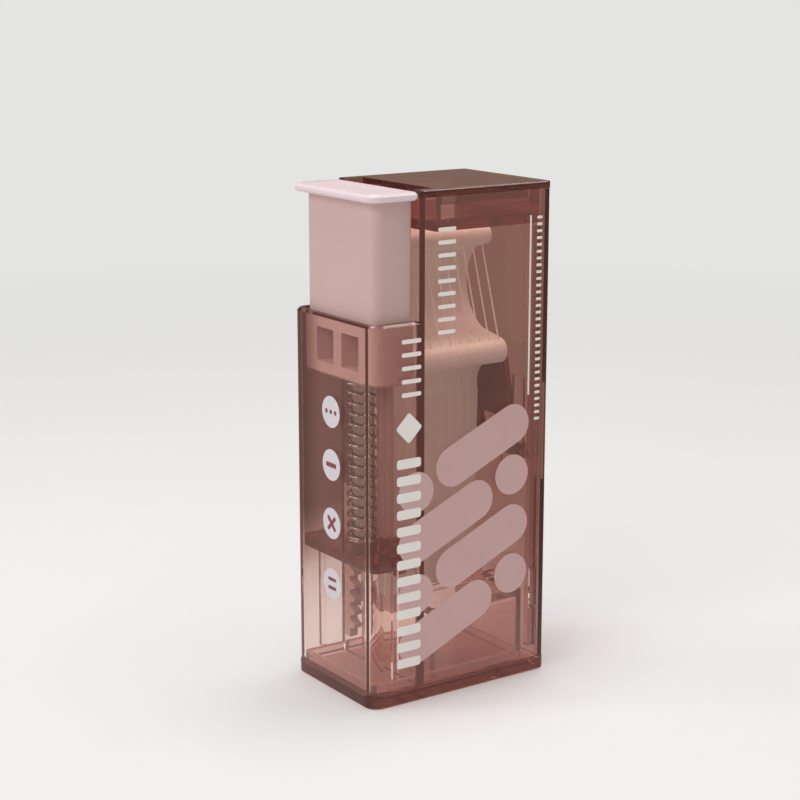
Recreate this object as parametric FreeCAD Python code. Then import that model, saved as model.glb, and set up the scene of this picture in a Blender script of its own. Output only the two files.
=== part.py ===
"""Press-type dispenser for dental floss picks.

A tinted, L-shaped, see-through case holds a row of floss picks in its tall part and an
opaque push button in the low bay beside it. Pressing the button drives a rack down, a
pinion on the partition turns, and a second rack lifts the first pick of the row through
the slot in the lid. A return spring on the button's rod sends everything back. The right
end of the case is a hinged refill door that carries a sprung flap, which keeps the row
of picks pressed towards the partition.

Frame: origin at the centre of the base's underside, +Z up, the wide printed face towards
-Y, the button at -X. All lengths are in millimetres.
"""
import FreeCAD, Part
import math
import os

from FreeCAD import Vector

# Driving sizes of the case
case_width = 38.0
case_depth = 25.6
case_height = 90.0
bay_width = 10.2
wall = 1.4
shell_inset = 0.15
corner_radius = 2.75
door_corner_radius = 0.8
lid_corner_radius = 0.6
rim_round = 0.5
rim_chamfer = 0.4
base_thickness = 2.4
base_edge_chamfer = 0.35
lid_thickness = 1.25
lid_edge_chamfer = 0.2
plug_height = 1.6
plug_wall = 1.2
overrun = 1.0

# Sizes that grow with the case, as shares of its height and depth
press_travel_share = 20.0 / 90.0
shelf_top_share = 26.4 / 90.0
rod_place_share = 9.1 / 25.6
pinion_place_share = 13.9 / 25.6
head_depth_share = 16.6 / 25.6
tip_place_share = 10.4 / 16.6

# Clearances
seat_gap = 0.1
slide_gap = 0.3
guide_gap = 0.2
running_clearance = 0.05

# Button
cap_stop_gap = 0.5
cap_thickness = 1.4
cap_top_gap = 0.2
cap_side_gap = 0.4
cap_chamfer = 0.45
cap_panel_border = 1.5
cap_panel_depth = 0.15
button_side_gap = 0.45
button_skirt = 10.9
button_corner_radius = 1.8
button_wall = 1.4
button_foot_chamfer = 0.45
pocket_depth = 4.3
pocket_height = 6.0
pocket_width = 5.3
pocket_sill = 2.3
pocket_spacing = 7.8
pocket_shift = -0.6
rod_radius = 1.5
rod_from_left = 4.5
rod_socket_depth = 1.0
rod_floor_gap = 0.8

# Return spring
wire_sides = 4
spring_wire = 0.5
spring_radius = 2.15
spring_pressed_pitch = 0.506
spring_seat_radius = 2.75
spring_seat_height = 2.0

# Shelf under the button
shelf_thickness = 1.9
shelf_rib_width = 1.0
shelf_rib_depth = 0.9
shelf_rib_from_left = 5.2
block_height = 2.1
block_drop = 2.0
block_depth = 3.2
block_width = 2.5

# Racks and pinion
gear_module = 0.8
pinion_teeth = 8
pressure_angle = 20.0
pinion_addendum = 0.7
pinion_dedendum = 0.7
rack_addendum = 0.5
rack_dedendum = 0.9
tooth_backlash = 0.3
gear_width = 1.7
gear_from_partition = 0.5
pinion_lift = 4.4
rack_bar = 1.8
rack_socket_depth = 6.0
rack_end_teeth = 2
axle_radius = 0.6
axle_head_radius = 1.2
axle_head_length = 0.6
axle_seat_depth = 1.0
axle_boss_radius = 1.3

# Lifter foot
foot_height = 3.2
foot_side_gap = 0.05
cradle_depth = 0.7
cradle_reach = 1.9

# Floss picks
pick_count = 9
pick_spacing = 0.29
pick_tip_height = 15.4
pick_front_gap = 1.5
head_height = 24.4
handle_width = 5.4
tip_width = 1.2
floss_radius = 0.16
floss_anchor = 1.6
lower_arm_shares = ((0.34, 0.0), (0.13, 0.01), (0.0, 0.10), (0.13, 0.195))
bow_shares = ((0.44, 0.235), (0.735, 0.53), (0.57, 0.82))
upper_arm_shares = ((0.40, 0.855), (0.295, 0.928), (0.40, 1.0))
spine_shares = ((0.70, 1.0), (0.93, 0.86), (1.0, 0.62), (0.97, 0.26))
neck_mid_shares = (0.475, -0.07)
floss_end_shares = ((0.075, 0.185), (0.39, 0.865))
arm_root_share = 0.49
neck_lean_share = 0.08
neck_share = 1.1

# Ceiling and stand in the pick chamber
ceiling_room = 4.45
ceiling_thickness = 1.6
ceiling_head_gap = 0.7
chute_wall = 1.0
ceiling_post_width = 2.1
ceiling_door_gap = 0.5
stand_plate = 1.4
stand_leg = 1.2
stand_side_gap = 1.7
stand_lip_height = 1.4
stand_lip_width = 1.0
trough_width = 3.0
stand_door_gap = 2.0
slot_end_margin = 2.0
lid_skirt_width = 1.0
lid_skirt_height = 1.5

# Refill door and its hinge
door_thickness = 1.25
door_gap = 0.15
barrel_radius = 1.1
pin_radius = 0.7
pin_length = 1.2
pin_length_top = 0.7
pin_end_gap = 0.15
rim_depth = 1.6
rim_thickness = 1.2
rim_base_gap = 0.6
latch_height = 7.1
latch_bottom = 12.4
latch_reach = 0.65
latch_floor = 0.55
grip_count = 3
grip_depth = 0.4
grip_width = 1.6
grip_height = 18.0
grip_from_edge = 1.6

# Sprung flap on the door
flap_room = 6.18
flap_drop = 17.6
flap_pivot_inset = 1.5
flap_lug_radius = 1.3
flap_lug_width = 1.0
flap_lug_margin = 2.7
flap_barrel_radius = 1.15
flap_plate = 1.1
flap_tip_lift = 1.0
flap_pad_thickness = 0.75
flap_pad_height = 6.2
flap_pad_gap = 0.3
flap_pin_radius = 0.6
flap_window = 4.4
flap_window_height = 6.0
flap_wire = 0.35
flap_coil_radius = 1.05
flap_coil_turns = 2
flap_coil_pitch = 0.8
flap_leg_length = 4.0

# Planes that several pieces share
left = -case_width / 2
right = case_width / 2
front = -case_depth / 2
back = case_depth / 2
shell_left = left + shell_inset
shell_front = front + shell_inset
shell_back = back - shell_inset
shell_right = right - shell_inset
inner_left = shell_left + wall
inner_front = shell_front + wall
inner_back = shell_back - wall
partition_left = left + bay_width
partition_right = partition_left + wall
lid_bottom = case_height - lid_thickness
door_inner = shell_right - door_thickness
shell_end = door_inner - door_gap
hinge_x = shell_right - barrel_radius
hinge_y = shell_back - barrel_radius
button_left = inner_left + button_side_gap
button_right = partition_left - cap_side_gap - seat_gap
button_front = inner_front + button_side_gap
button_back = inner_back - button_side_gap
press_travel = case_height * press_travel_share
cap_bottom = case_height - cap_top_gap - cap_thickness
bay_height = cap_bottom - cap_stop_gap - press_travel
button_bottom = bay_height - button_skirt
rod_x = left + rod_from_left
rod_y = front + case_depth * rod_place_share
shelf_top = case_height * shelf_top_share
gear_right = partition_left - gear_from_partition
gear_left = gear_right - gear_width
pitch_radius = gear_module * pinion_teeth / 2
tooth_pitch = math.pi * gear_module
tooth_width = (tooth_pitch - tooth_backlash) / 2
pinion_y = front + case_depth * pinion_place_share
pinion_z = shelf_top + pinion_lift
spring_bottom = shelf_top + spring_seat_height
spring_room = button_bottom - spring_bottom
spring_turns = round((spring_room - press_travel) / spring_pressed_pitch)
row_room = door_inner - flap_room - partition_right - slide_gap
pick_pitch = (row_room + pick_spacing) / pick_count
pick_thickness = pick_pitch - pick_spacing
pick_first = partition_right + slide_gap + pick_thickness / 2
pick_last = pick_first + pick_pitch * (pick_count - 1)
chute_right = pick_first + pick_thickness / 2 + slide_gap
head_depth = case_depth * head_depth_share
head_front = inner_front + pick_front_gap
tip_y = head_front + head_depth * tip_place_share
ceiling_top = lid_bottom - ceiling_room
ceiling_bottom = ceiling_top - ceiling_thickness
head_top = ceiling_bottom - ceiling_head_gap
head_bottom = head_top - head_height
flap_tip_height = head_bottom + flap_tip_lift
flap_pivot_height = flap_tip_height - flap_drop
foot_width = pick_thickness - 2 * foot_side_gap
foot_top = pick_tip_height + cradle_depth
foot_bottom = foot_top - foot_height


def box(x0, y0, z0, x1, y1, z1):
    """A box between two corners."""
    return Part.makeBox(x1 - x0, y1 - y0, z1 - z0, Vector(x0, y0, z0))


def rod(radius, start, end):
    """A round bar from one point to another."""
    along = end - start
    return Part.makeCylinder(radius, along.Length, start, along)


def rounded_plan(x0, y0, x1, y1, z0, z1, left_radius, right_radius):
    """A prism with rounded upright corners, one radius for each end."""
    block = box(x0, y0, z0, x1, y1, z1)
    for at_x, radius in ((x0, left_radius), (x1, right_radius)):
        uprights = [edge for edge in block.Edges if is_upright(edge, at_x)]
        block = block.makeFillet(radius, uprights)
    return block


def is_upright(edge, at_x):
    """Whether an edge stands along Z on the plane X = at_x."""
    box_of = edge.BoundBox
    flat = box_of.XLength + box_of.YLength < box_of.ZLength / 1000
    return flat and abs(box_of.XMin - at_x) < wall / 1000


def edges_at_height(shape, height):
    """The edges that lie flat at one height."""
    near = wall / 1000
    return [edge for edge in shape.Edges
            if abs(edge.BoundBox.ZMin - height) < near and abs(edge.BoundBox.ZMax - height) < near]


def prism(points, direction):
    """A solid between a closed outline of points and its copy moved along a direction."""
    outline = Part.makePolygon(points + [points[0]])
    return Part.Face(outline).extrude(direction)


def save(name, shape):
    """Write one piece to its own file and report it."""
    solids = shape.Solids
    whole = solids[0] if len(solids) == 1 else Part.makeCompound(solids)
    whole.exportStep("parts/" + name + ".step")
    print(name, "solids", len(solids), "volume", round(whole.Volume, 2), "valid", whole.isValid())


# Case, base and lid

def make_case_shell():
    """L-shaped moulded shell: four walls, the partition, and the guides moulded on them."""
    outer = rounded_plan(shell_left, shell_front, shell_end, shell_back, base_thickness, lid_bottom,
                         corner_radius - shell_inset, rim_round)
    above_bay = box(left - overrun, front - overrun, bay_height, partition_left, back + overrun, case_height)
    outer = outer.cut(above_bay)
    outer = outer.makeChamfer(rim_chamfer, bay_rim_edges(outer))
    bay = rounded_plan(inner_left, inner_front, partition_left, inner_back,
                       base_thickness - overrun, case_height,
                       corner_radius - shell_inset - wall, rim_round)
    chamber = box(partition_right, inner_front, base_thickness - overrun,
                  right + overrun, inner_back, case_height)
    barrel_room = box(hinge_x - barrel_radius - slide_gap, hinge_y - barrel_radius - slide_gap,
                      base_thickness - overrun, right, back + overrun, case_height)
    shell = outer.cut(bay).cut(chamber).cut(barrel_room)
    shell = shell.cut(make_lifter_slot())
    shell = shell.cut(make_latch_pocket())
    boss = rod(axle_boss_radius, Vector(gear_right + guide_gap, pinion_y, pinion_z),
               Vector(partition_left + wall / 2, pinion_y, pinion_z))
    shell = shell.fuse(boss)
    for rib in make_shelf_ribs():
        shell = shell.fuse(rib)
    axle_hole = rod(axle_radius, Vector(gear_left, pinion_y, pinion_z),
                    Vector(partition_left + axle_seat_depth, pinion_y, pinion_z))
    return shell.cut(axle_hole).removeSplitter()


def bay_rim_edges(shape):
    """The outside edges round the top of the bay, without the one against the tall part."""
    rim = edges_at_height(shape, bay_height)
    return [edge for edge in rim if edge.BoundBox.XMin < partition_left - wall / 2]


def make_lifter_slot():
    """Upright slot in the partition that the lifter's foot travels in."""
    return box(partition_left - overrun, foot_front() - slide_gap, foot_bottom - slide_gap,
               partition_right + overrun, foot_back() + slide_gap, foot_top + press_travel + slide_gap)


def make_latch_pocket():
    """Pocket inside the front wall that the door's latch snaps into."""
    return box(door_inner - rim_depth - door_gap, shell_front + latch_floor, latch_bottom - slide_gap,
               right, inner_front + overrun, latch_bottom + latch_height + slide_gap)


def make_shelf_ribs():
    """Two upright ribs on the bay's front and back walls that the shelf stands on."""
    start = left + shelf_rib_from_left
    low = base_thickness + plug_height + slide_gap
    high = shelf_top - shelf_thickness
    end = start + shelf_rib_width
    front_rib = box(start, inner_front - wall / 2, low, end, inner_front + shelf_rib_depth, high)
    back_rib = box(start, inner_back - shelf_rib_depth, low, end, inner_back + wall / 2, high)
    return [front_rib, back_rib]


def make_base_cover():
    """Base plate with a plug rim on three sides and the socket for the door's lower pin."""
    plate = rounded_plan(left, front, right, back, 0, base_thickness, corner_radius, door_corner_radius)
    plate = plate.makeChamfer(base_edge_chamfer, edges_at_height(plate, 0))
    plug_left = inner_left + seat_gap
    plug_front = inner_front + seat_gap
    plug_back = inner_back - seat_gap
    plug_end = partition_left - seat_gap
    top = base_thickness + plug_height
    ring = rounded_plan(plug_left, plug_front, plug_end, plug_back, base_thickness, top,
                        corner_radius - shell_inset - wall - seat_gap, rim_round)
    hollow = box(plug_left + plug_wall, plug_front + plug_wall, base_thickness,
                 plug_end + overrun, plug_back - plug_wall, top + overrun)
    plate = plate.fuse(ring.cut(hollow))
    rail_start = partition_right + seat_gap
    rail_end = door_inner - rim_depth - stand_door_gap
    plate = plate.fuse(box(rail_start, plug_front, base_thickness, rail_end, plug_front + plug_wall, top))
    plate = plate.fuse(box(rail_start, plug_back - plug_wall, base_thickness, rail_end, plug_back, top))
    socket = rod(pin_radius + running_clearance, Vector(hinge_x, hinge_y, base_thickness - pin_length),
                 Vector(hinge_x, hinge_y, base_thickness + overrun))
    return plate.cut(socket).removeSplitter()


def make_top_lid():
    """Lid of the tall part, open at its left edge for the rising pick."""
    plate = rounded_plan(partition_left - shell_inset, front, right, back, lid_bottom, case_height,
                         lid_corner_radius, door_corner_radius)
    plate = plate.makeChamfer(lid_edge_chamfer, edges_at_height(plate, case_height))
    slot = box(left, inner_front + slot_end_margin - wall, lid_bottom - overrun,
               chute_right, inner_back - slot_end_margin + wall, case_height + overrun)
    plate = plate.cut(slot)
    skirt_left = chute_right + chute_wall + seat_gap
    skirt_right = door_inner - ceiling_door_gap - ceiling_post_width - seat_gap
    skirt_low = lid_bottom - lid_skirt_height
    skirt_front = inner_front + seat_gap
    skirt_back = inner_back - seat_gap
    for skirt_y in (skirt_front, skirt_back - lid_skirt_width):
        plate = plate.fuse(box(skirt_left, skirt_y, skirt_low,
                               skirt_right, skirt_y + lid_skirt_width, lid_bottom))
    socket = rod(pin_radius + running_clearance, Vector(hinge_x, hinge_y, lid_bottom - overrun),
                 Vector(hinge_x, hinge_y, lid_bottom + pin_length_top))
    return plate.cut(socket).removeSplitter()


# Pick chamber

def make_pick_ceiling():
    """Plate over the waiting picks, with the chute's wall and a post up to the lid."""
    post_right = door_inner - ceiling_door_gap
    profile = [
        Vector(chute_right, 0, ceiling_bottom),
        Vector(post_right, 0, ceiling_bottom),
        Vector(post_right, 0, lid_bottom),
        Vector(post_right - ceiling_post_width, 0, lid_bottom),
        Vector(post_right - ceiling_post_width, 0, ceiling_top),
        Vector(chute_right + chute_wall, 0, ceiling_top),
        Vector(chute_right + chute_wall, 0, lid_bottom),
        Vector(chute_right, 0, lid_bottom),
    ]
    low_y = inner_front + seat_gap
    high_y = inner_back - seat_gap
    solid = prism(profile, Vector(0, high_y - low_y, 0))
    solid.translate(Vector(0, low_y, 0))
    barrel_room = box(hinge_x - barrel_radius - slide_gap, hinge_y - barrel_radius - slide_gap,
                      ceiling_bottom - overrun, right, back, case_height)
    return solid.cut(barrel_room)


def make_pick_stand():
    """Bench that the waiting picks stand on, with a trough for their tips."""
    start = chute_right + slide_gap / 2
    end = door_inner - stand_door_gap
    low_y = inner_front + stand_side_gap
    high_y = inner_back - stand_side_gap
    under = pick_tip_height - stand_plate
    bench = box(start, low_y, base_thickness, end, high_y, pick_tip_height)
    knee_room = box(start + stand_leg, low_y - overrun, base_thickness - overrun,
                    end - stand_leg, high_y + overrun, under)
    bench = bench.cut(knee_room)
    for side in (-1, 1):
        near = tip_y + side * trough_width / 2
        far = near + side * stand_lip_width
        bench = bench.fuse(box(start, min(near, far), pick_tip_height - stand_plate / 2,
                               end, max(near, far), pick_tip_height + stand_lip_height))
    return bench.removeSplitter()


def pick_outline():
    """Closed outline of one pick in the YZ plane, as lines and arcs.

    Places in the head are shares of its depth, from the lower arm's end to the spine, and
    of its height, from the lower arm's underside to the top.
    """
    def at(depth_share, height_share):
        return Vector(0, head_front + depth_share * head_depth, head_bottom + height_share * head_height)

    half_tip = tip_width / 2
    tip_side = pick_tip_height + half_tip
    tip_back = Vector(0, tip_y + half_tip, tip_side)
    tip_end = Vector(0, tip_y, pick_tip_height)
    tip_front = Vector(0, tip_y - half_tip, tip_side)
    handle_front = head_front + arm_root_share * head_depth
    neck_height = head_bottom - neck_share * handle_width
    neck_low = Vector(0, handle_front + neck_lean_share * handle_width, neck_height)
    neck_back = Vector(0, handle_front + handle_width, neck_height)
    return Part.Wire([
        Part.makeLine(at(*lower_arm_shares[0]), at(*lower_arm_shares[1])),
        Part.Arc(at(*lower_arm_shares[1]), at(*lower_arm_shares[2]), at(*lower_arm_shares[3])).toShape(),
        Part.makeLine(at(*lower_arm_shares[3]), at(*bow_shares[0])),
        Part.Arc(at(*bow_shares[0]), at(*bow_shares[1]), at(*bow_shares[2])).toShape(),
        Part.makeLine(at(*bow_shares[2]), at(*upper_arm_shares[0])),
        Part.Arc(at(*upper_arm_shares[0]), at(*upper_arm_shares[1]), at(*upper_arm_shares[2])).toShape(),
        Part.makeLine(at(*upper_arm_shares[2]), at(*spine_shares[0])),
        Part.Arc(at(*spine_shares[0]), at(*spine_shares[1]), at(*spine_shares[2])).toShape(),
        Part.Arc(at(*spine_shares[2]), at(*spine_shares[3]), neck_back).toShape(),
        Part.makeLine(neck_back, tip_back),
        Part.Arc(tip_back, tip_end, tip_front).toShape(),
        Part.makeLine(tip_front, neck_low),
        Part.Arc(neck_low, at(*neck_mid_shares), at(*lower_arm_shares[0])).toShape(),
    ])


def pick_floss_ends():
    """Where the floss leaves the lower and the upper arm."""
    return [Vector(0, head_front + depth_share * head_depth, head_bottom + height_share * head_height)
            for depth_share, height_share in floss_end_shares]


def make_floss(pick):
    """Stretched floss of one pick, from the face of its lower arm to that of its upper arm."""
    low, high = pick_floss_ends()
    along = along_line(low, high)
    start = low - along * floss_anchor
    section = Part.Face(wire_section(start, along, floss_radius))
    pieces = section.extrude(high + along * floss_anchor - start).cut(pick).Solids
    return min(pieces, key=lambda piece: (piece.CenterOfMass - (low + high) / 2).Length)


def make_pick():
    """One pick at X = 0: moulded bow with two arms, handle and toothpick tip."""
    body = Part.Face(pick_outline()).extrude(Vector(pick_thickness, 0, 0))
    body.translate(Vector(-pick_thickness / 2, 0, 0))
    return body


# Button

def make_button_body():
    """Opaque plunger: hollow above, with two cored pockets and the sockets below."""
    block = rounded_plan(button_left, button_front, button_right, button_back, button_bottom, cap_bottom,
                         button_corner_radius, rim_round)
    block = block.makeChamfer(button_foot_chamfer, edges_at_height(block, button_bottom))
    hollow_floor = button_bottom + pocket_sill + pocket_height + button_wall
    hollow = box(button_left + button_wall, button_front + button_wall, hollow_floor,
                 button_right - button_wall, button_back - button_wall, cap_bottom + overrun)
    block = block.cut(hollow)
    pocket_low = button_bottom + pocket_sill
    pocket_end = button_left + pocket_depth
    middle = (button_front + button_back) / 2 + pocket_shift
    for side in (-1, 1):
        near_y = middle + side * pocket_spacing / 2 - pocket_width / 2
        block = block.cut(box(button_left - overrun, near_y, pocket_low,
                              pocket_end, near_y + pocket_width, pocket_low + pocket_height))
    room_top = lifter_top() + press_travel * 2 + slide_gap
    rack_room = box(gear_left - slide_gap, lifter_front() - slide_gap, button_bottom - overrun,
                    button_right + overrun, lifter_back() + slide_gap, room_top)
    block = block.cut(rack_room)
    return block.cut(make_button_rack()).cut(make_button_rod())


def make_button_cap():
    """Flanged cap with a rounded rim, a faint inset panel and a plug into the body."""
    cap_top = cap_bottom + cap_thickness
    cap_right = partition_left - cap_side_gap
    cap = rounded_plan(left, front, cap_right, back, cap_bottom, cap_top, corner_radius, door_corner_radius)
    rims = edges_at_height(cap, cap_bottom) + edges_at_height(cap, cap_top)
    cap = cap.makeChamfer(cap_chamfer, rims)
    border = cap_panel_border
    panel = box(left + border, front + border, cap_top - cap_panel_depth,
                cap_right - border, back - border, case_height + overrun)
    cap = cap.cut(panel)
    plug = button_wall + seat_gap
    return cap.fuse(box(button_left + plug, button_front + plug, cap_bottom - plug_height,
                        button_right - plug, button_back - plug, cap_bottom + cap_chamfer))


def make_button_rod():
    """Guide rod that carries the return spring and slides through the shelf."""
    low = base_thickness + rod_floor_gap + press_travel
    return rod(rod_radius, Vector(rod_x, rod_y, low), Vector(rod_x, rod_y, button_bottom + rod_socket_depth))


# Racks and pinion

def rack_front():
    """Front face of the button's rack bar."""
    return pinion_y - pitch_radius - rack_dedendum - rack_bar


def lifter_back():
    """Back face of the lifter's rack bar."""
    return pinion_y + pitch_radius + rack_dedendum + rack_bar


def lifter_front():
    """Tips of the lifter's rack teeth."""
    return pinion_y + pitch_radius - rack_addendum


def lifter_top():
    """Top of the lifter's rack with the button at rest."""
    return pinion_z + rack_end_teeth * tooth_pitch


def foot_back():
    """Back of the foot where it passes the partition."""
    return lifter_back()


def foot_front():
    """Front of the foot where it passes the partition."""
    return lifter_back() - foot_width


def make_rack(root_y, side, low, high):
    """Rack with its teeth along Z; side is +1 where the teeth point to +Y."""
    bar_y = root_y - side * rack_bar
    blank = box(gear_left, min(root_y, bar_y), low, gear_right, max(root_y, bar_y), high)
    slope = math.tan(math.radians(pressure_angle))
    half_root = tooth_width / 2 + rack_dedendum * slope
    half_tip = tooth_width / 2 - rack_addendum * slope
    tooth_height = rack_addendum + rack_dedendum
    first = math.ceil((low + half_root - pinion_z) / tooth_pitch - 0.5)
    last = math.floor((high - half_root - pinion_z) / tooth_pitch - 0.5)
    for index in range(first, last + 1):
        centre = pinion_z + (index + 0.5) * tooth_pitch
        tip_y = root_y + side * tooth_height
        tooth = prism([
            Vector(gear_left, root_y - side * rack_bar / 2, centre - half_root),
            Vector(gear_left, root_y, centre - half_root),
            Vector(gear_left, tip_y, centre - half_tip),
            Vector(gear_left, tip_y, centre + half_tip),
            Vector(gear_left, root_y, centre + half_root),
            Vector(gear_left, root_y - side * rack_bar / 2, centre + half_root),
        ], Vector(gear_width, 0, 0))
        blank = blank.fuse(tooth)
    return blank.removeSplitter()


def make_button_rack():
    """Rack that hangs from the button and drives the pinion."""
    root_y = pinion_y - pitch_radius - rack_dedendum
    low = pinion_z - rack_end_teeth * tooth_pitch + tooth_pitch / 2
    teeth_top = pinion_z + press_travel + rack_end_teeth * tooth_pitch
    toothed = make_rack(root_y, 1, low, teeth_top)
    shank_top = button_bottom + rack_socket_depth
    shank = box(gear_left, root_y - rack_bar, teeth_top, gear_right, root_y, shank_top)
    return toothed.fuse(shank).removeSplitter()


def make_lifter():
    """Rack that rises as the button goes down, with the foot that carries the first pick."""
    root_y = pinion_y + pitch_radius + rack_dedendum
    low = pinion_z - press_travel - rack_end_teeth * tooth_pitch + tooth_pitch / 2
    rack = make_rack(root_y, -1, low, lifter_top())
    beam_left = pick_first - foot_width / 2
    beam_right = pick_first + foot_width / 2
    bridge = box(gear_right - wall / 2, foot_front(), foot_bottom, beam_right, foot_back(), foot_top)
    beam = box(beam_left, tip_y - cradle_reach, foot_bottom, beam_right, foot_back(), foot_top)
    cradle = prism([
        Vector(beam_left - overrun, tip_y - tip_width, foot_top + overrun),
        Vector(beam_left - overrun, tip_y - tip_width, foot_top),
        Vector(beam_left - overrun, tip_y - tip_width / 2, pick_tip_height),
        Vector(beam_left - overrun, tip_y + tip_width / 2, pick_tip_height),
        Vector(beam_left - overrun, tip_y + tip_width, foot_top),
        Vector(beam_left - overrun, tip_y + tip_width, foot_top + overrun),
    ], Vector(foot_width + 2 * overrun, 0, 0))
    return rack.fuse(bridge).fuse(beam.cut(cradle)).removeSplitter()


def involute(angle):
    """The involute function of a pressure angle in radians."""
    return math.tan(angle) - angle


def tooth_half_angle(radius):
    """Half of the angle that a pinion tooth fills at one radius."""
    pressure = math.radians(pressure_angle)
    base_radius = pitch_radius * math.cos(pressure)
    at_radius = math.acos(base_radius / max(radius, base_radius))
    return tooth_width / (2 * pitch_radius) + involute(pressure) - involute(at_radius)


def pinion_point(radius, angle):
    """A point of the pinion's outline, its angle measured from +Y towards +Z."""
    return Vector(gear_left, pinion_y + radius * math.cos(angle), pinion_z + radius * math.sin(angle))


def make_pinion():
    """Small gear between the two racks, with involute flanks and a running bore."""
    root = pitch_radius - pinion_dedendum
    tip = pitch_radius + pinion_addendum
    base_radius = pitch_radius * math.cos(math.radians(pressure_angle))
    middle = (base_radius + tip) / 2
    step = 2 * math.pi / pinion_teeth
    edges = []
    for index in range(pinion_teeth):
        turn = index * step
        rise = [pinion_point(r, turn - tooth_half_angle(r)) for r in (root, base_radius, middle, tip)]
        fall = [pinion_point(r, turn + tooth_half_angle(r)) for r in (tip, middle, base_radius, root)]
        next_root = pinion_point(root, turn + step - tooth_half_angle(root))
        edges.append(Part.makeLine(rise[0], rise[1]))
        edges.append(Part.Arc(rise[1], rise[2], rise[3]).toShape())
        edges.append(Part.Arc(rise[3], pinion_point(tip, turn), fall[0]).toShape())
        edges.append(Part.Arc(fall[0], fall[1], fall[2]).toShape())
        edges.append(Part.makeLine(fall[2], fall[3]))
        edges.append(Part.Arc(fall[3], pinion_point(root, turn + step / 2), next_root).toShape())
    wheel = Part.Face(Part.Wire(edges)).extrude(Vector(gear_width, 0, 0))
    bore = rod(axle_radius + running_clearance, Vector(gear_left - overrun, pinion_y, pinion_z),
               Vector(gear_right + overrun, pinion_y, pinion_z))
    return wheel.cut(bore)


def make_pinion_axle():
    """Headed steel pin, pressed into the partition, that the pinion turns on."""
    seat = partition_left + axle_seat_depth
    head_face = gear_left - guide_gap
    shank = rod(axle_radius, Vector(head_face, pinion_y, pinion_z), Vector(seat, pinion_y, pinion_z))
    head = rod(axle_head_radius, Vector(head_face - axle_head_length, pinion_y, pinion_z),
               Vector(head_face, pinion_y, pinion_z))
    return shank.fuse(head)


def make_bay_shelf():
    """Shelf with the raised seat of the return spring and the guide block in front of the rack."""
    low = shelf_top - shelf_thickness
    edge = partition_left - seat_gap
    plate = rounded_plan(inner_left + seat_gap, inner_front + seat_gap, edge, inner_back - seat_gap,
                         low, shelf_top, corner_radius - shell_inset - wall - seat_gap, rim_round)
    block_back = rack_front() - guide_gap
    block = box(gear_right - block_width + guide_gap, block_back - block_depth, low - block_drop,
                edge - seat_gap, block_back, shelf_top + block_height)
    crown = [edge for edge in block.Edges
             if edge.BoundBox.ZMin > shelf_top and edge.BoundBox.YMax < block_back - block_depth / 2
             and edge.BoundBox.XLength > block_width / 2]
    block = block.makeFillet(block_depth / 2, crown)
    seat = rod(spring_seat_radius, Vector(rod_x, rod_y, low), Vector(rod_x, rod_y, spring_bottom))
    shelf = plate.fuse(block).fuse(seat)
    rod_hole = rod(rod_radius + guide_gap, Vector(rod_x, rod_y, low - overrun),
                   Vector(rod_x, rod_y, spring_bottom + overrun))
    rack_tips = pinion_y - pitch_radius + rack_addendum
    rack_hole = box(gear_left - guide_gap, block_back, low - overrun,
                    edge + overrun, rack_tips + guide_gap, shelf_top + overrun)
    lifter_hole = box(gear_left - guide_gap, lifter_front() - guide_gap, low - overrun,
                      edge + overrun, lifter_back() + guide_gap, shelf_top + overrun)
    return shelf.cut(rod_hole).cut(rack_hole).cut(lifter_hole).removeSplitter()


# Springs

def along_line(start, end):
    """Unit direction from one point to another."""
    way = end - start
    return way * (1 / way.Length)


def bulge_point(start, way, end):
    """Middle of the arc that leaves start along a unit direction and ends at end."""
    across = along_line(start, end)
    turn = math.acos(max(-1.0, min(1.0, way.dot(across))))
    side = way - across * way.dot(across)
    side = side * (1 / side.Length)
    return (start + end) / 2 + side * ((end - start).Length / 2 * math.tan(turn / 2))


def biarc(start, start_way, end, end_way):
    """Two arcs that leave and arrive along the given unit directions and meet smoothly."""
    across = end - start
    spread = 2 * (1 - start_way.dot(end_way))
    lean = across.dot(start_way + end_way)
    reach = (math.sqrt(lean * lean + spread * across.dot(across)) - lean) / spread
    meeting = (start + end + (start_way - end_way) * reach) / 2
    first = Part.Arc(start, bulge_point(start, start_way, meeting), meeting).toShape()
    second = Part.Arc(meeting, bulge_point(end, end_way * -1, meeting), end).toShape()
    return [first, second]


class Coil:
    """A helix about an axis, set out with arcs."""

    def __init__(self, centre, axis, zero_way, radius, pitch):
        self.centre = centre
        self.axis = axis
        self.zero_way = zero_way
        self.quarter_way = axis.cross(zero_way)
        self.radius = radius
        self.pitch = pitch

    def point(self, angle):
        """The point of the helix at an angle in radians."""
        out = self.zero_way * math.cos(angle) + self.quarter_way * math.sin(angle)
        return self.centre + out * self.radius + self.axis * (self.pitch * angle / (2 * math.pi))

    def way(self, angle):
        """Unit direction of the helix at an angle in radians."""
        out = self.quarter_way * math.cos(angle) - self.zero_way * math.sin(angle)
        tangent = out * self.radius + self.axis * (self.pitch / (2 * math.pi))
        return tangent * (1 / tangent.Length)

    def arcs(self, end_angle):
        """Arcs from angle zero to the end angle, no more than half a turn to each pair."""
        count = math.ceil(end_angle / math.pi)
        edges = []
        for index in range(count):
            low = end_angle * index / count
            high = end_angle * (index + 1) / count
            edges += biarc(self.point(low), self.way(low), self.point(high), self.way(high))
        return edges


def report_least_gap(name, edges, turn_length, wire):
    """Print the least gap of a wound wire to itself, from points along its middle line."""
    points = Part.Wire(edges).discretize(Distance=wire / 2)
    apart = math.ceil(turn_length / 2 / (points[1] - points[0]).Length)
    distances = [(points[j] - points[i]).Length
                 for i in range(len(points)) for j in range(i + apart, min(len(points), i + 4 * apart))]
    print(name, "least gap to itself", round(min(distances) - wire, 3))


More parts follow.
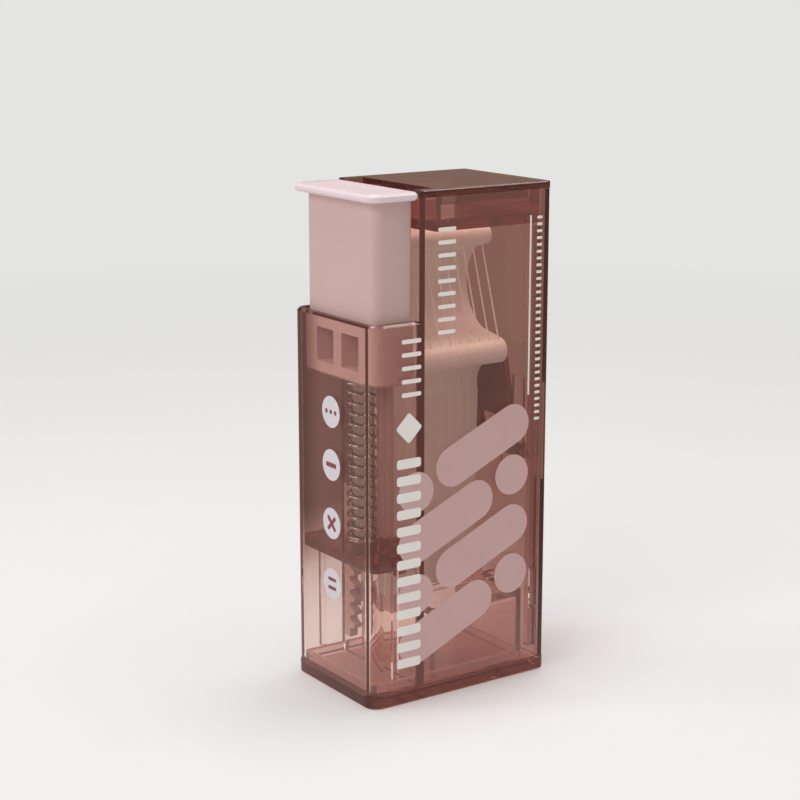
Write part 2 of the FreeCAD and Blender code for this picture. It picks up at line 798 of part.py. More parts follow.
def wire_section(start, way, radius):
    """Closed section of a wire, square to a unit direction, its round drawn with a few flats."""
    aside = Vector(0, 0, 1) if abs(way.z) < 0.5 else Vector(0, 1, 0)
    side = way.cross(aside)
    side = side * (1 / side.Length)
    other = way.cross(side)
    corners = []
    for index in range(wire_sides):
        angle = 2 * math.pi * index / wire_sides
        corners.append(start + (side * math.cos(angle) + other * math.sin(angle)) * radius)
    return Part.makePolygon(corners + [corners[0]])


def tube(edges, start, way, radius):
    """Wire swept along joined edges."""
    return Part.Wire(edges).makePipeShell([wire_section(start, way, radius)], True, False)


def make_return_spring():
    """Compression spring on the rod, between the shelf and the button."""
    low = spring_bottom + spring_wire / 2
    pitch = (spring_room - spring_wire) / spring_turns
    coil = Coil(Vector(rod_x, rod_y, low), Vector(0, 0, 1), Vector(0, -1, 0), spring_radius, pitch)
    edges = coil.arcs(2 * math.pi * spring_turns)
    report_least_gap("return_spring", edges, 2 * math.pi * spring_radius, spring_wire)
    return tube(edges, coil.point(0), coil.way(0), spring_wire / 2)


# Refill door with its sprung flap

def make_refill_door():
    """End wall of the case: panel, hinge barrel with pins, rim, latch and the flap's lugs."""
    low = base_thickness + seat_gap
    high = lid_bottom - seat_gap
    panel = box(door_inner, shell_front, low, shell_right, hinge_y, high)
    outer_front = [edge for edge in panel.Edges
                   if is_upright(edge, shell_right) and edge.BoundBox.YMax < shell_front + wall]
    panel = panel.makeFillet(rim_round, outer_front)
    barrel = rod(barrel_radius, Vector(hinge_x, hinge_y, low), Vector(hinge_x, hinge_y, high))
    pins = rod(pin_radius, Vector(hinge_x, hinge_y, base_thickness - pin_length + pin_end_gap),
               Vector(hinge_x, hinge_y, lid_bottom + pin_length_top - pin_end_gap))
    rim_y = inner_front + guide_gap
    rim_low = base_thickness + plug_height + rim_base_gap
    rim_high = ceiling_bottom - rim_base_gap
    rim = box(door_inner - rim_depth, rim_y, rim_low, door_inner + wall / 2, rim_y + rim_thickness, rim_high)
    latch = box(door_inner - rim_depth, inner_front - latch_reach, latch_bottom,
                door_inner + wall / 2, rim_y + wall / 2, latch_bottom + latch_height)
    door = panel.fuse(barrel).fuse(pins).fuse(rim).fuse(latch)
    for low_y in flap_lug_places():
        door = door.fuse(make_flap_lug(low_y))
    grip_y = shell_front + grip_from_edge
    for index in range(grip_count):
        groove_y = grip_y + index * 2 * grip_width
        door = door.cut(box(shell_right - grip_depth, groove_y, case_height / 2 - grip_height / 2,
                            right + overrun, groove_y + grip_width, case_height / 2 + grip_height / 2))
    hole = rod(flap_pin_radius, flap_pivot(inner_front), flap_pivot(inner_back))
    return door.cut(hole).removeSplitter()


def flap_pivot(at_y):
    """A point on the flap's pivot line."""
    return Vector(door_inner - flap_pivot_inset, at_y, flap_pivot_height)


def flap_lug_places():
    """Where the two lugs begin along Y."""
    return [inner_front + flap_lug_margin, inner_back - flap_lug_margin - flap_lug_width]


def make_flap_lug(low_y):
    """Lug on the inside of the door that holds one end of the flap's pin."""
    high_y = low_y + flap_lug_width
    eye = rod(flap_lug_radius, flap_pivot(low_y), flap_pivot(high_y))
    foot = box(door_inner - flap_pivot_inset, low_y, flap_pivot_height - flap_lug_radius,
               door_inner + wall / 2, high_y, flap_pivot_height + flap_lug_radius)
    return eye.fuse(foot)


def make_flap_pin():
    """Steel pin pressed into the two lugs."""
    low_y, high_y = flap_lug_places()
    return rod(flap_pin_radius, flap_pivot(low_y), flap_pivot(high_y + flap_lug_width))


def flap_reach():
    """The Y range of the flap between the lugs."""
    low_y, high_y = flap_lug_places()
    return low_y + flap_lug_width + guide_gap, high_y - guide_gap


def flap_side(offset, height):
    """A point on a line parallel to the flap's middle plane, in the XZ plane."""
    pivot = flap_pivot(0)
    tip = Vector(pad_face() + flap_pad_thickness + flap_plate / 2, 0, flap_tip_height)
    way = along_line(pivot, tip)
    across = Vector(-way.z, 0, way.x)
    base = pivot + across * offset
    return base + way * ((height - base.z) / way.z)


def pad_face():
    """Face of the flap's pad that stands before the last pick."""
    return pick_last + pick_thickness / 2 + flap_pad_gap


def make_flap():
    """Hinged plate that leans towards the picks, with a bored barrel and the spring's window."""
    low_y, high_y = flap_reach()
    half = flap_plate / 2
    plate = prism([flap_side(half, flap_pivot_height), flap_side(half, flap_tip_height),
                   flap_side(-half, flap_tip_height), flap_side(-half, flap_pivot_height)],
                  Vector(0, high_y - low_y, 0))
    plate.translate(Vector(0, low_y, 0))
    barrel = rod(flap_barrel_radius, flap_pivot(low_y), flap_pivot(high_y))
    bore = rod(flap_pin_radius + running_clearance, flap_pivot(low_y - overrun), flap_pivot(high_y + overrun))
    middle = (low_y + high_y) / 2
    window = box(left, middle - flap_window / 2, flap_pivot_height - flap_lug_radius,
                 right, middle + flap_window / 2, flap_pivot_height + flap_window_height)
    return plate.fuse(barrel).cut(window).cut(bore).removeSplitter()


def make_flap_pad():
    """Smooth wedge on the flap's head that bears on the last pick."""
    low_y, high_y = flap_reach()
    half = flap_plate / 2
    low_z = flap_tip_height - flap_pad_height
    wedge = prism([Vector(pad_face(), 0, low_z), Vector(pad_face(), 0, flap_tip_height),
                   flap_side(half, flap_tip_height), flap_side(half, low_z)],
                  Vector(0, high_y - low_y, 0))
    wedge.translate(Vector(0, low_y, 0))
    rims = [edge for edge in wedge.Edges
            if edge.BoundBox.XMax < pad_face() + half / 10 and edge.BoundBox.YLength > half]
    return wedge.makeFillet(rim_round, rims)


def make_flap_spring():
    """Torsion spring on the flap's pin, one leg to the door and one up the flap."""
    low_y, high_y = flap_reach()
    start = flap_pivot((low_y + high_y - flap_coil_pitch * flap_coil_turns) / 2)
    coil = Coil(start, Vector(0, 1, 0), Vector(1, 0, 0), flap_coil_radius, flap_coil_pitch)
    coil.quarter_way = Vector(0, 0, 1)
    lean = flap_side(0, flap_tip_height) - flap_pivot(0)
    end_angle = 2 * math.pi * flap_coil_turns + math.atan2(-lean.x, lean.z)
    first_way = coil.way(0)
    last_way = coil.way(end_angle)
    first_end = coil.point(0) - first_way * flap_leg_length
    last_end = coil.point(end_angle) + last_way * flap_leg_length
    edges = [Part.makeLine(first_end, coil.point(0))] + coil.arcs(end_angle)
    edges.append(Part.makeLine(coil.point(end_angle), last_end))
    report_least_gap("flap_spring", edges, 2 * math.pi * flap_coil_radius, flap_wire)
    return tube(edges, first_end, first_way, flap_wire / 2)


def main():
    """Build every piece and write it."""
    os.makedirs("parts", exist_ok=True)
    save("case_shell", make_case_shell())
    save("base_cover", make_base_cover())
    save("top_lid", make_top_lid())
    save("pick_ceiling", make_pick_ceiling())
    save("pick_stand", make_pick_stand())
    save("bay_shelf", make_bay_shelf())
    save("button_body", make_button_body())
    save("button_cap", make_button_cap())
    save("button_rod", make_button_rod())
    save("button_rack", make_button_rack())
    save("pinion", make_pinion())
    save("pinion_axle", make_pinion_axle())
    save("lifter", make_lifter())
    save("return_spring", make_return_spring())
    save("refill_door", make_refill_door())
    save("flap_pin", make_flap_pin())
    save("flap", make_flap())
    save("flap_pad", make_flap_pad())
    save("flap_spring", make_flap_spring())
    pick = make_pick()
    floss = make_floss(pick)
    for number in range(pick_count):
        shift = Vector(pick_first + number * pick_pitch, 0, 0)
        save("pick_%d" % (number + 1), pick.translated(shift))
        save("floss_%d" % (number + 1), floss.translated(shift))


main()
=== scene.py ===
"""Dental floss dispenser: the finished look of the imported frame, its studio and its camera.

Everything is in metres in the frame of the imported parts. Sizes in the classes are in
millimetres, as a maker would write them, and one function turns them to metres.
"""

import logging
import math
from dataclasses import dataclass, field
from enum import Enum
from typing import Any, Optional

import bmesh
import bpy
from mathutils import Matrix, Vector


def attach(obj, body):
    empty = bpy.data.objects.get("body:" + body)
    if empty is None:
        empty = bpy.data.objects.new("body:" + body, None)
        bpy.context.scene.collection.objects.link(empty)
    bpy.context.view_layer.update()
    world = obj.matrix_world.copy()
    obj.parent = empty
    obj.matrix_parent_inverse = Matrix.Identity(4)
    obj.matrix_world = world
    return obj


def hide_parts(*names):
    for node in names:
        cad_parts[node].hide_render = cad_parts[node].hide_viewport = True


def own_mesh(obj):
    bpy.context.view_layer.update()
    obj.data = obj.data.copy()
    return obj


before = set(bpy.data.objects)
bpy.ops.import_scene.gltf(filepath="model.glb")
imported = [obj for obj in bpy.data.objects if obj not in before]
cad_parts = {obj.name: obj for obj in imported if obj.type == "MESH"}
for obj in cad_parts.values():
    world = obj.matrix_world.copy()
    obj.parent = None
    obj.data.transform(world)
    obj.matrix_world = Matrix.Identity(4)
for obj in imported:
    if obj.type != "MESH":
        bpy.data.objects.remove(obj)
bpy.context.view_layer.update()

LOG = logging.getLogger("dispenser")
MM = 0.001
WELD = 0.001 * MM
CREASE = math.radians(38)
FLAT = math.radians(1)
Triple = tuple[float, float, float]
Pair = tuple[float, float]
Colour = tuple[float, float, float, float]
EVEN: Triple = (1.0, 1.0, 1.0)


def linear(code: str) -> Colour:
    """Turns a colour written as sRGB hex into linear light.

    Args:
        code: Six hex digits, such as "DEBDB8".

    Returns:
        Red, green, blue and an alpha of one.
    """
    parts = [int(code[i : i + 2], 16) / 255 for i in (0, 2, 4)]
    red, green, blue = (c / 12.92 if c <= 0.04045 else ((c + 0.055) / 1.055) ** 2.4
                        for c in parts)
    return red, green, blue, 1.0


def metres(point: Triple) -> Vector:
    """Returns a point given in millimetres as a vector in metres."""
    return Vector(point) * MM


def add_node(tree: bpy.types.NodeTree, kind: str, settings: Optional[dict] = None,
             links: Optional[dict] = None) -> bpy.types.Node:
    """Adds one node to a tree.

    Args:
        tree: The shader or geometry tree.
        kind: The node's type.
        settings: Values by attribute, by input name or by input number, set in order.
        links: Sockets to join, by the new node's input name or number.

    Returns:
        The new node.
    """
    node = tree.nodes.new(kind)
    for name, value in (settings or {}).items():
        if isinstance(name, int) or name in node.inputs:
            node.inputs[name].default_value = value
        else:
            setattr(node, name, value)
    for name, socket in (links or {}).items():
        tree.links.new(socket, node.inputs[name])
    return node


def new_material(name: str) -> bpy.types.Material:
    """Makes an empty node material.

    Args:
        name: The material's name.

    Returns:
        The material, with no nodes in it yet.
    """
    material = bpy.data.materials.new(name)
    material.use_nodes = True
    material.node_tree.nodes.clear()
    return material


class Finish:
    """Base of the finishes: it keeps one material for each set of values."""

    made: dict = {}

    def material(self) -> bpy.types.Material:
        """Returns this finish's material, made on the first call."""
        if self not in Finish.made:
            Finish.made[self] = self.make()
        return Finish.made[self]

    def make(self) -> bpy.types.Material:
        """Makes the material. Each finish has its own."""
        raise NotImplementedError


def grain(tree: bpy.types.NodeTree, size_mm: float, detail: float,
          stretch: Triple = EVEN) -> Any:
    """Adds a noise pattern of a real size that stays on its piece.

    Args:
        tree: The material's tree.
        size_mm: The size of one patch.
        detail: How fine the pattern breaks up.
        stretch: Scale along X, Y and Z before the noise.

    Returns:
        The noise's factor socket.
    """
    place = add_node(tree, "ShaderNodeTexCoord")
    turned = add_node(tree, "ShaderNodeMapping", {"Scale": stretch},
                      {"Vector": place.outputs["Object"]})
    noise = add_node(tree, "ShaderNodeTexNoise", {"Scale": 1 / (size_mm * MM), "Detail": detail},
                     {"Vector": turned.outputs["Vector"]})
    return noise.outputs["Fac"]


def close_opaque(tree: bpy.types.NodeTree, shades: tuple[str, str], clouds: Any, sheen: Pair,
                 patches: Any, relief: Pair, height: Any, settings: dict) -> None:
    """Ends an opaque material with its clouded colour, its varied sheen and its fine relief.

    Args:
        tree: The material's tree.
        shades: Its darker and its lighter colour.
        clouds: The pattern that mixes them.
        sheen: Its least and its most roughness.
        patches: The pattern that varies it.
        relief: Strength of the relief, and its depth in millimetres.
        height: The pattern of the relief.
        settings: The shader's other values.
    """
    colour = add_node(tree, "ShaderNodeMix",
                      {"data_type": "RGBA", 6: linear(shades[0]), 7: linear(shades[1])},
                      {0: clouds})
    roughness = add_node(tree, "ShaderNodeMapRange",
                         {"From Min": 0.3, "From Max": 0.7, "To Min": sheen[0], "To Max": sheen[1]},
                         {"Value": patches})
    bump = add_node(tree, "ShaderNodeBump", {"Strength": relief[0], "Distance": relief[1] * MM},
                    {"Height": height})
    body = add_node(tree, "ShaderNodeBsdfPrincipled", settings,
                    {"Base Color": colour.outputs[2], "Roughness": roughness.outputs["Result"],
                     "Normal": bump.outputs["Normal"]})
    add_node(tree, "ShaderNodeOutputMaterial", {}, {"Surface": body.outputs[0]})


@dataclass(frozen=True)
class ClearTint(Finish):
    """See-through tinted plastic: colour from the depth passed and from its skin, which can carry a
    painted shade by position, with a faint painted glow.

    Attributes:
        name: The material's name.
        passes: Linear share of light that is left after one millimetre of plastic.
        skin: Colour of the skin, seen twice through each wall.
        painted_shade: Colour of the skin where a darker tone is painted on by position, standing in
            for shade.
        painted_shade_from: Y from which the painted shade lies on the skin, in millimetres.
        painted_shade_low: Height at which the painted shade begins to show.
        painted_shade_full: Height above which it is full.
        painted_shade_end: Height above which there is none.
        fade: Length over which the painted shade begins and ends.
        sheen_low: Least roughness.
        sheen_high: Most roughness, in the scuffed patches.
        clear: Share of light that passes the skin without being scattered.
        cloud_mm: Size of the faint clouds in the tint.
        scuff_mm: Size of the scuffed patches.
        wave_mm: Length of the slow waves that moulding leaves in a wall.
        painted_glow_colour: Colour of a faint painted glow, for the light that stays caught in the
            plastic.
        glow: Strength of that painted glow, which stands in for light that the renderer's last
            bounce would lose.
        cloudy: Colour of the clouds.
    """

    name: str
    passes: Triple
    skin: str = "FFFFFF"
    painted_shade: str = "FFFFFF"
    painted_shade_from: float = 99.0
    painted_shade_low: float = 22.0
    painted_shade_full: float = 27.0
    painted_shade_end: float = 99.0
    fade: float = 8.0
    sheen_low: float = 0.0
    sheen_high: float = 0.03
    clear: float = 0.999
    cloud_mm: float = 11.0
    scuff_mm: float = 3.5
    wave_mm: float = 14.0
    # A faint burgundy painted glow, so that edges where rays stay caught show burgundy and not
    # black.
    painted_glow_colour: str = "FF9A90"
    glow: float = 0.016
    cloudy: str = "E8DCD8"

    def density(self) -> tuple[float, Colour]:
        """Works out the volume's values from what one millimetre passes.

        Returns:
            The absorption density per metre and the absorption colour.
        """
        depth = [-math.log(share) / MM for share in self.passes]
        density = max(depth) * 1.1
        red, green, blue = (1 - d / density for d in depth)
        return density, (red, green, blue, 1.0)

    def tint(self, tree: bpy.types.NodeTree) -> Any:
        """Adds the skin's colour, which turns to the painted shade where its mask says and clouds a
        little.

        Args:
            tree: The material's tree.

        Returns:
            The colour socket for the surface.
        """
        place = add_node(tree, "ShaderNodeTexCoord")
        axes = add_node(tree, "ShaderNodeSeparateXYZ", {}, {"Vector": place.outputs["Object"]})
        # Mask of the painted shade: behind a given Y, and between a low and a high height.
        spans = (("Y", self.painted_shade_from, self.painted_shade_from + self.fade),
                 ("Z", self.painted_shade_low, self.painted_shade_full),
                 ("Z", self.painted_shade_end, self.painted_shade_end - self.fade))
        behind, height, top = [
            add_node(tree, "ShaderNodeMapRange", {"From Min": start * MM, "From Max": end * MM},
                     {"Value": axes.outputs[axis]}).outputs["Result"]
            for axis, start, end in spans]
        rise = add_node(tree, "ShaderNodeMath", {"operation": "MULTIPLY"}, {0: height, 1: top})
        both = add_node(tree, "ShaderNodeMath", {"operation": "MULTIPLY"},
                        {0: behind, 1: rise.outputs[0]})
        wall = add_node(tree, "ShaderNodeMix",
                        {"data_type": "RGBA", 6: linear(self.skin), 7: linear(self.painted_shade)},
                        {0: both.outputs[0]})
        cloud = add_node(tree, "ShaderNodeMapRange", {"To Min": 0.0, "To Max": 0.08},
                         {"Value": grain(tree, self.cloud_mm, 2.0)})
        mixed = add_node(tree, "ShaderNodeMix", {"data_type": "RGBA", 7: linear(self.cloudy)},
                         {0: cloud.outputs["Result"], 6: wall.outputs[2]})
        return mixed.outputs[2]

    def make(self) -> bpy.types.Material:
        """Makes the clear material.

        Returns:
            A material that bends light, tints it by depth, lets lamps through and carries a faint
            painted glow.
        """
        material = new_material(self.name)
        tree = material.node_tree
        colour = self.tint(tree)
        roughness = add_node(tree, "ShaderNodeMapRange",
                             {"From Min": 0.35, "From Max": 0.75, "To Min": self.sheen_low,
                              "To Max": self.sheen_high},
                             {"Value": grain(tree, self.scuff_mm, 6.0)})
        bump = add_node(tree, "ShaderNodeBump", {"Strength": 0.03, "Distance": 0.4 * MM},
                        {"Height": grain(tree, self.wave_mm, 1.0, (1.0, 1.0, 0.35))})
        # Its emission is the faint painted glow.
        body = add_node(tree, "ShaderNodeBsdfPrincipled",
                        {"Transmission Weight": self.clear, "IOR": 1.5,
                         "Emission Color": linear(self.painted_glow_colour), "Emission Strength": self.glow},
                        {"Base Color": colour, "Roughness": roughness.outputs["Result"],
                         "Normal": bump.outputs["Normal"]})
        open_way = add_node(tree, "ShaderNodeBsdfTransparent", {"Color": linear("F8F4F2")})
        path = add_node(tree, "ShaderNodeLightPath")
        lamp = add_node(tree, "ShaderNodeMixShader", {},
                        {0: path.outputs["Is Shadow Ray"], 1: body.outputs[0],
                         2: open_way.outputs[0]})
        density, tone = self.density()
        depth = add_node(tree, "ShaderNodeVolumeAbsorption", {"Color": tone, "Density": density})
        add_node(tree, "ShaderNodeOutputMaterial", {},
                 {"Surface": lamp.outputs[0], "Volume": depth.outputs[0]})
        return material


@dataclass(frozen=True)
class Moulded(Finish):
    """Opaque moulded plastic or rubber with faint clouding and a satin skin.

    Attributes:
        name: The material's name.
        colour: The plastic's colour.
        shade: The colour of its slightly darker clouds.
        low: Least roughness.
        high: Most roughness.
        pore_mm: Size of the skin's pores, drawn a few times coarser than real so that they show.
        pores: Strength of the pores.
        glow: Share of light that sinks in.
        coat: Weight of a thin gloss coat.
        painted_glow: Strength of a painted glow in the plastic's own colour, for the light that
            thin plastic passes on from behind.
        cloud_mm: Size of the clouds in its colour.
        patch_mm: Size of the patches in its sheen.
    """

    name: str
    colour: str
    shade: str
    low: float = 0.32
    high: float = 0.46
    pore_mm: float = 0.35
    pores: float = 0.12
    glow: float = 0.0
    coat: float = 0.0
    painted_glow: float = 0.0
    cloud_mm: float = 7.0
    patch_mm: float = 2.2

    def make(self) -> bpy.types.Material:
        """Makes the moulded material.

        Returns:
            An opaque material with clouding, a varied sheen, fine pores and, where set, a painted
            glow.
        """
        material = new_material(self.name)
        tree = material.node_tree
        # The emission is the painted glow, in the plastic's own colour.
        close_opaque(tree, (self.shade, self.colour), grain(tree, self.cloud_mm, 3.0),
                     (self.low, self.high), grain(tree, self.patch_mm, 4.0, (1.0, 1.0, 0.6)),
                     (self.pores, 0.02), grain(tree, self.pore_mm, 2.0),
                     {"IOR": 1.5, "Coat Weight": self.coat, "Subsurface Weight": self.glow,
                      "Subsurface Scale": 0.9 * MM, "Emission Color": linear(self.colour),
                      "Emission Strength": self.painted_glow})
        return material


@dataclass(frozen=True)
class DrawnSteel(Finish):
    """Drawn and polished steel wire or pin with fine lines along it.

    Attributes:
        name: The material's name.
        colour: The metal's colour.
        lines: Scale of the draw lines across X, Y and Z.
        line_mm: Spacing of the draw lines, drawn some five times coarser than real to show.
        stain_mm: Size of the duller patches.
        dull: The metal's colour in the duller patches.
    """

    name: str
    colour: str
    lines: Triple = (1.0, 1.0, 0.08)
    line_mm: float = 0.12
    stain_mm: float = 2.5
    dull: str = "8A8482"

    def make(self) -> bpy.types.Material:
        """Makes the steel.

        Returns:
            A metal with draw lines in its sheen and surface.
        """
        material = new_material(self.name)
        tree = material.node_tree
        drawn = grain(tree, self.line_mm, 3.0, self.lines)
        close_opaque(tree, (self.dull, self.colour), grain(tree, self.stain_mm, 3.0), (0.16, 0.34),
                     drawn, (0.15, 0.01), drawn, {"Metallic": 1.0})
        return material


@dataclass(frozen=True)
class Ink(Finish):
    """Screen-printed ink: even colour, a little thinner in places, with the screen's faint grain.

    Attributes:
        name: The material's name.
        colour: The ink's colour.
        thin: The colour where the ink lies thinner.
        cover_mm: Size of the patches of thicker and thinner ink.
        mesh_mm: Spacing of the screen's threads.
    """

    name: str
    colour: str
    thin: str
    cover_mm: float = 5.0
    mesh_mm: float = 0.16

    def make(self) -> bpy.types.Material:
        """Makes the ink.

        Returns:
            A satin material with the screen's grain in colour and surface.
        """
        material = new_material(self.name)
        tree = material.node_tree
        mesh = grain(tree, self.mesh_mm, 1.0)
        close_opaque(tree, (self.thin, self.colour), grain(tree, self.cover_mm, 5.0), (0.38, 0.55),
                     mesh, (0.1, 0.01), mesh, {"IOR": 1.48})
        return material


# Tinted acrylic, injection moulded and polished: faces show a faint rose, edges gather burgundy
# from the depth of plastic and from the faint painted glow.
ROSE = (0.968, 0.944, 0.935)
# The shell's skin carries a painted shade: dark brown behind Y 4 mm, from 20 mm up to 84 mm high,
# on the back of the tall chamber, standing in for the shade seen through it.
CASE_CLEAR = ClearTint("Tinted_acrylic_shell", ROSE, skin="FBF4F1", painted_shade="703C35", painted_shade_from=4.0,
                       painted_shade_low=20.0, painted_shade_full=31.0, painted_shade_end=84.0)
BASE_CLEAR = ClearTint("Tinted_acrylic_base", (0.968, 0.938, 0.930), skin="DCC4BA")
LID_CLEAR = ClearTint("Tinted_acrylic_lid", (0.97, 0.94, 0.93), skin="8E7265")
CEILING_CLEAR = ClearTint("Tinted_acrylic_ceiling", (0.968, 0.925, 0.918), skin="C9A09A")
SHELF_CLEAR = ClearTint("Tinted_acrylic_shelf", (0.95, 0.88, 0.87), skin="A56F67")
STAND_CLEAR = ClearTint("Tinted_acrylic_stand", ROSE, skin="F4E9E5")
# On the door the painted-shade mask covers every Y: the skin turns greyer and a little darker from
# 8 mm up, fully from 50 mm.
DOOR_CLEAR = ClearTint("Tinted_acrylic_door", (0.90, 0.77, 0.755), skin="BFA69C", painted_shade="B4A398",
                       painted_shade_from=-99.0, painted_shade_low=8.0, painted_shade_full=50.0)
# ABS, moulded in a finely blasted tool: an even satin, tighter on the cap where thumbs rub it. The
# cap is a paler copy of the button's colour: a painted sheen for the light on its top.
BUTTON_SKIN = Moulded("Satin_ABS_button", "D2B3AF", "CBAAA6", 0.30, 0.42, coat=0.15)
CAP_SKIN_PAINTED_SHEEN = Moulded("Satin_ABS_cap_painted_sheen", "EAD9DC", "E6D4D8", 0.32, 0.40)
# Thin polypropylene lets light sink in, so the picks look soft; a painted glow makes them look
# bright from within.
PICK_SKIN = Moulded("Moulded_polypropylene_pick", "F0EAE2", "E8E1D9", 0.26, 0.40, glow=0.12,
                    painted_glow=0.08)
# Acetal has a dry, waxy sheen.
GEAR_SKIN = Moulded("Moulded_acetal_gear", "C9A49A", "BC968C", 0.34, 0.5)
# Dark ABS arm with a dull rubber pad that grips the row.
FLAP_SKIN = Moulded("Satin_ABS_flap", "8A564A", "7C4B40", 0.36, 0.52)
PAD_SKIN = Moulded("Moulded_rubber_pad", "743F35", "68372E", 0.55, 0.75, pore_mm=0.2, pores=0.3)
# Waxed nylon filaments, twisted: pale, with a broken sheen along the lay and a faint painted glow.
FLOSS_FIBRE = Moulded("Waxed_nylon_floss", "F6EAE0", "EEE2D8", 0.4, 0.6, pore_mm=0.08, pores=0.35,
                      painted_glow=0.12)
# Drawn spring wire and ground pins: bright steel with fine lines along the draw.
SPRING_STEEL = DrawnSteel("Drawn_steel_spring", "C9C2BE", EVEN)
PIN_STEEL = DrawnSteel("Drawn_steel_pin", "BDB6B2")
# Screen-printed ink lies thin and satin on the gloss.
WHITE_INK = Ink("Screen_ink_white", "F6F2EC", "EAE5DE")
ROSE_INK = Ink("Screen_ink_rose", "D3AEAC", "C9A3A0")
DISC_INK = Ink("Screen_ink_disc", "DCD6DA", "D0C9CF")
MARK_INK = Ink("Screen_ink_mark", "8E4A4C", "7F3F42")


class Edge(Enum):
    """How far and how finely a moulding's edges are broken, as (millimetres, steps)."""

    CRISP = (0.12, 1)
    ROUND = (0.3, 3)
    SOFT = (0.35, 3)


@dataclass
class Moulding:
    """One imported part, copied, with its edges broken as its mould leaves them.

    Attributes:
        node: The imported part's name.
        body: The body that it rides on.
        slot: The record's material slot.
        edge: How its edges are broken.
        finish: Its finish.
        widen: Growth along X about its own middle.
    """

    node: str
    body: str
    slot: str
    edge: Edge
    finish: Finish
    widen: float = 1.0

    def merged_copy(self) -> bpy.types.Mesh:
        """Copies the part's mesh and joins its loose triangles into whole faces.

        Returns:
            The new mesh.
        """
        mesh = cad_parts[self.node].data.copy()
        shape = bmesh.new()
        shape.from_mesh(mesh)
        bmesh.ops.remove_doubles(shape, verts=shape.verts, dist=WELD)
        bmesh.ops.dissolve_limit(shape, angle_limit=FLAT, verts=shape.verts,
                                 edges=shape.edges)
        bmesh.ops.connect_verts_concave(shape, faces=shape.faces)
        across = [vert.co.x for vert in shape.verts]
        middle = (min(across) + max(across)) / 2
        for vert in shape.verts:
            vert.co.x = middle + (vert.co.x - middle) * self.widen
        shape.to_mesh(mesh)
        shape.free()
        mesh.materials.clear()
        return mesh

    def build(self) -> bpy.types.Object:
        """Builds and dresses the piece.

        Returns:
            The finished object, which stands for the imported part.
        """
        width, steps = self.edge.value
        rough = bpy.data.objects.new(f"{self.node}_blank", self.merged_copy())
        bpy.context.scene.collection.objects.link(rough)
        rough.data.shade_smooth()
        rough.data.set_sharp_from_angle(angle=CREASE)
        bevel = rough.modifiers.new("Broken_edges", "BEVEL")
        bevel.width = width * MM
        bevel.segments = steps
        bevel.limit_method = "ANGLE"
        bevel.angle_limit = CREASE
        bevel.use_clamp_overlap = True
        bevel.miter_outer = "MITER_ARC"
        weighted = rough.modifiers.new("Flat_faces", "WEIGHTED_NORMAL")
        weighted.keep_sharp = False
        return finish_piece(rough, f"{self.node}_piece", self.body, self.slot, self.finish,
                            self.node)


def finish_piece(rough: bpy.types.Object, name: str, body: str, slot: str, finish: Finish,
                 *nodes: str) -> bpy.types.Object:
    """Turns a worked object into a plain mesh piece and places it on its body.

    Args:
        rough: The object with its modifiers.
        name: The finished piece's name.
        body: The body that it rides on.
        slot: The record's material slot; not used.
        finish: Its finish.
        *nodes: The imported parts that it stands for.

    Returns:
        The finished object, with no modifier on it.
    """
    bpy.context.view_layer.update()
    ready = rough.evaluated_get(bpy.context.evaluated_depsgraph_get())
    mesh = bpy.data.meshes.new_from_object(ready)
    mesh.name = name
    mesh.materials.clear()
    mesh.materials.append(finish.material())
    bpy.data.objects.remove(rough)
    piece = bpy.data.objects.new(name, mesh)
    bpy.context.scene.collection.objects.link(piece)
    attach(piece, body)
    if nodes:
        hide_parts(*nodes)
    LOG.info("%s: %d faces on %s", name, len(mesh.polygons), body)
    return piece


@dataclass
class Tree:
    """A geometry tree with named inputs.

    Attributes:
        name: The tree's name.
        kinds: Socket kind by input name.
    """

    name: str
    kinds: dict
    tree: bpy.types.NodeTree = field(init=False)
    given: bpy.types.Node = field(init=False)

    def __post_init__(self) -> None:
        """Makes the tree's interface."""
        self.tree = bpy.data.node_groups.new(self.name, "GeometryNodeTree")
        for label, kind in self.kinds.items():
            self.tree.interface.new_socket(name=label, in_out="INPUT", socket_type=kind)
        self.tree.interface.new_socket(name="Geometry", in_out="OUTPUT",
                                       socket_type="NodeSocketGeometry")
        self.given = add_node(self.tree, "NodeGroupInput")

    def add(self, kind: str, settings: Optional[dict] = None, links: Optional[dict] = None) -> Any:
        """Adds a node to this tree, as add_node does."""
        return add_node(self.tree, kind, settings, links)

    def close(self, shape: Any) -> None:
        """Ends the tree with realised geometry in the given material.

        Args:
            shape: The geometry socket to end on.
        """
        real = self.add("GeometryNodeRealizeInstances", {}, {"Geometry": shape})
        dressed = self.add("GeometryNodeSetMaterial", {},
                           {"Geometry": real.outputs[0],
                            "Material": self.given.outputs["Material"]})
        add_node(self.tree, "NodeGroupOutput", {}, {"Geometry": dressed.outputs[0]})

    def run(self, values: dict) -> bpy.types.Object:
        """Puts the tree on an empty object and sets its inputs.

        Args:
            values: Input values by name.

        Returns:
            The object that carries the tree.
        """
        holder = bpy.data.objects.new(f"{self.name}_blank", bpy.data.meshes.new(self.name))
        bpy.context.scene.collection.objects.link(holder)
        modifier = holder.modifiers.new(self.name, "NODES")
        modifier.node_group = self.tree
        for item in self.tree.interface.items_tree:
            if item.in_out == "INPUT":
                modifier[item.identifier] = values[item.name]
        return holder


# Steps in one turn of a coil, sides of its wire, and the share of its climb that is even all along,
# which keeps the closed end turns from lying in each other.
TURN_STEPS = 28
WIRE_SIDES = 12
EVEN_CLIMB = 0.06
# A strand is three-lobed: this is its radius between the lobes, as a share of the outer one.
STRAND_WAIST = 0.86
# Steps round each corner of a printed patch.
CORNER_STEPS = 12


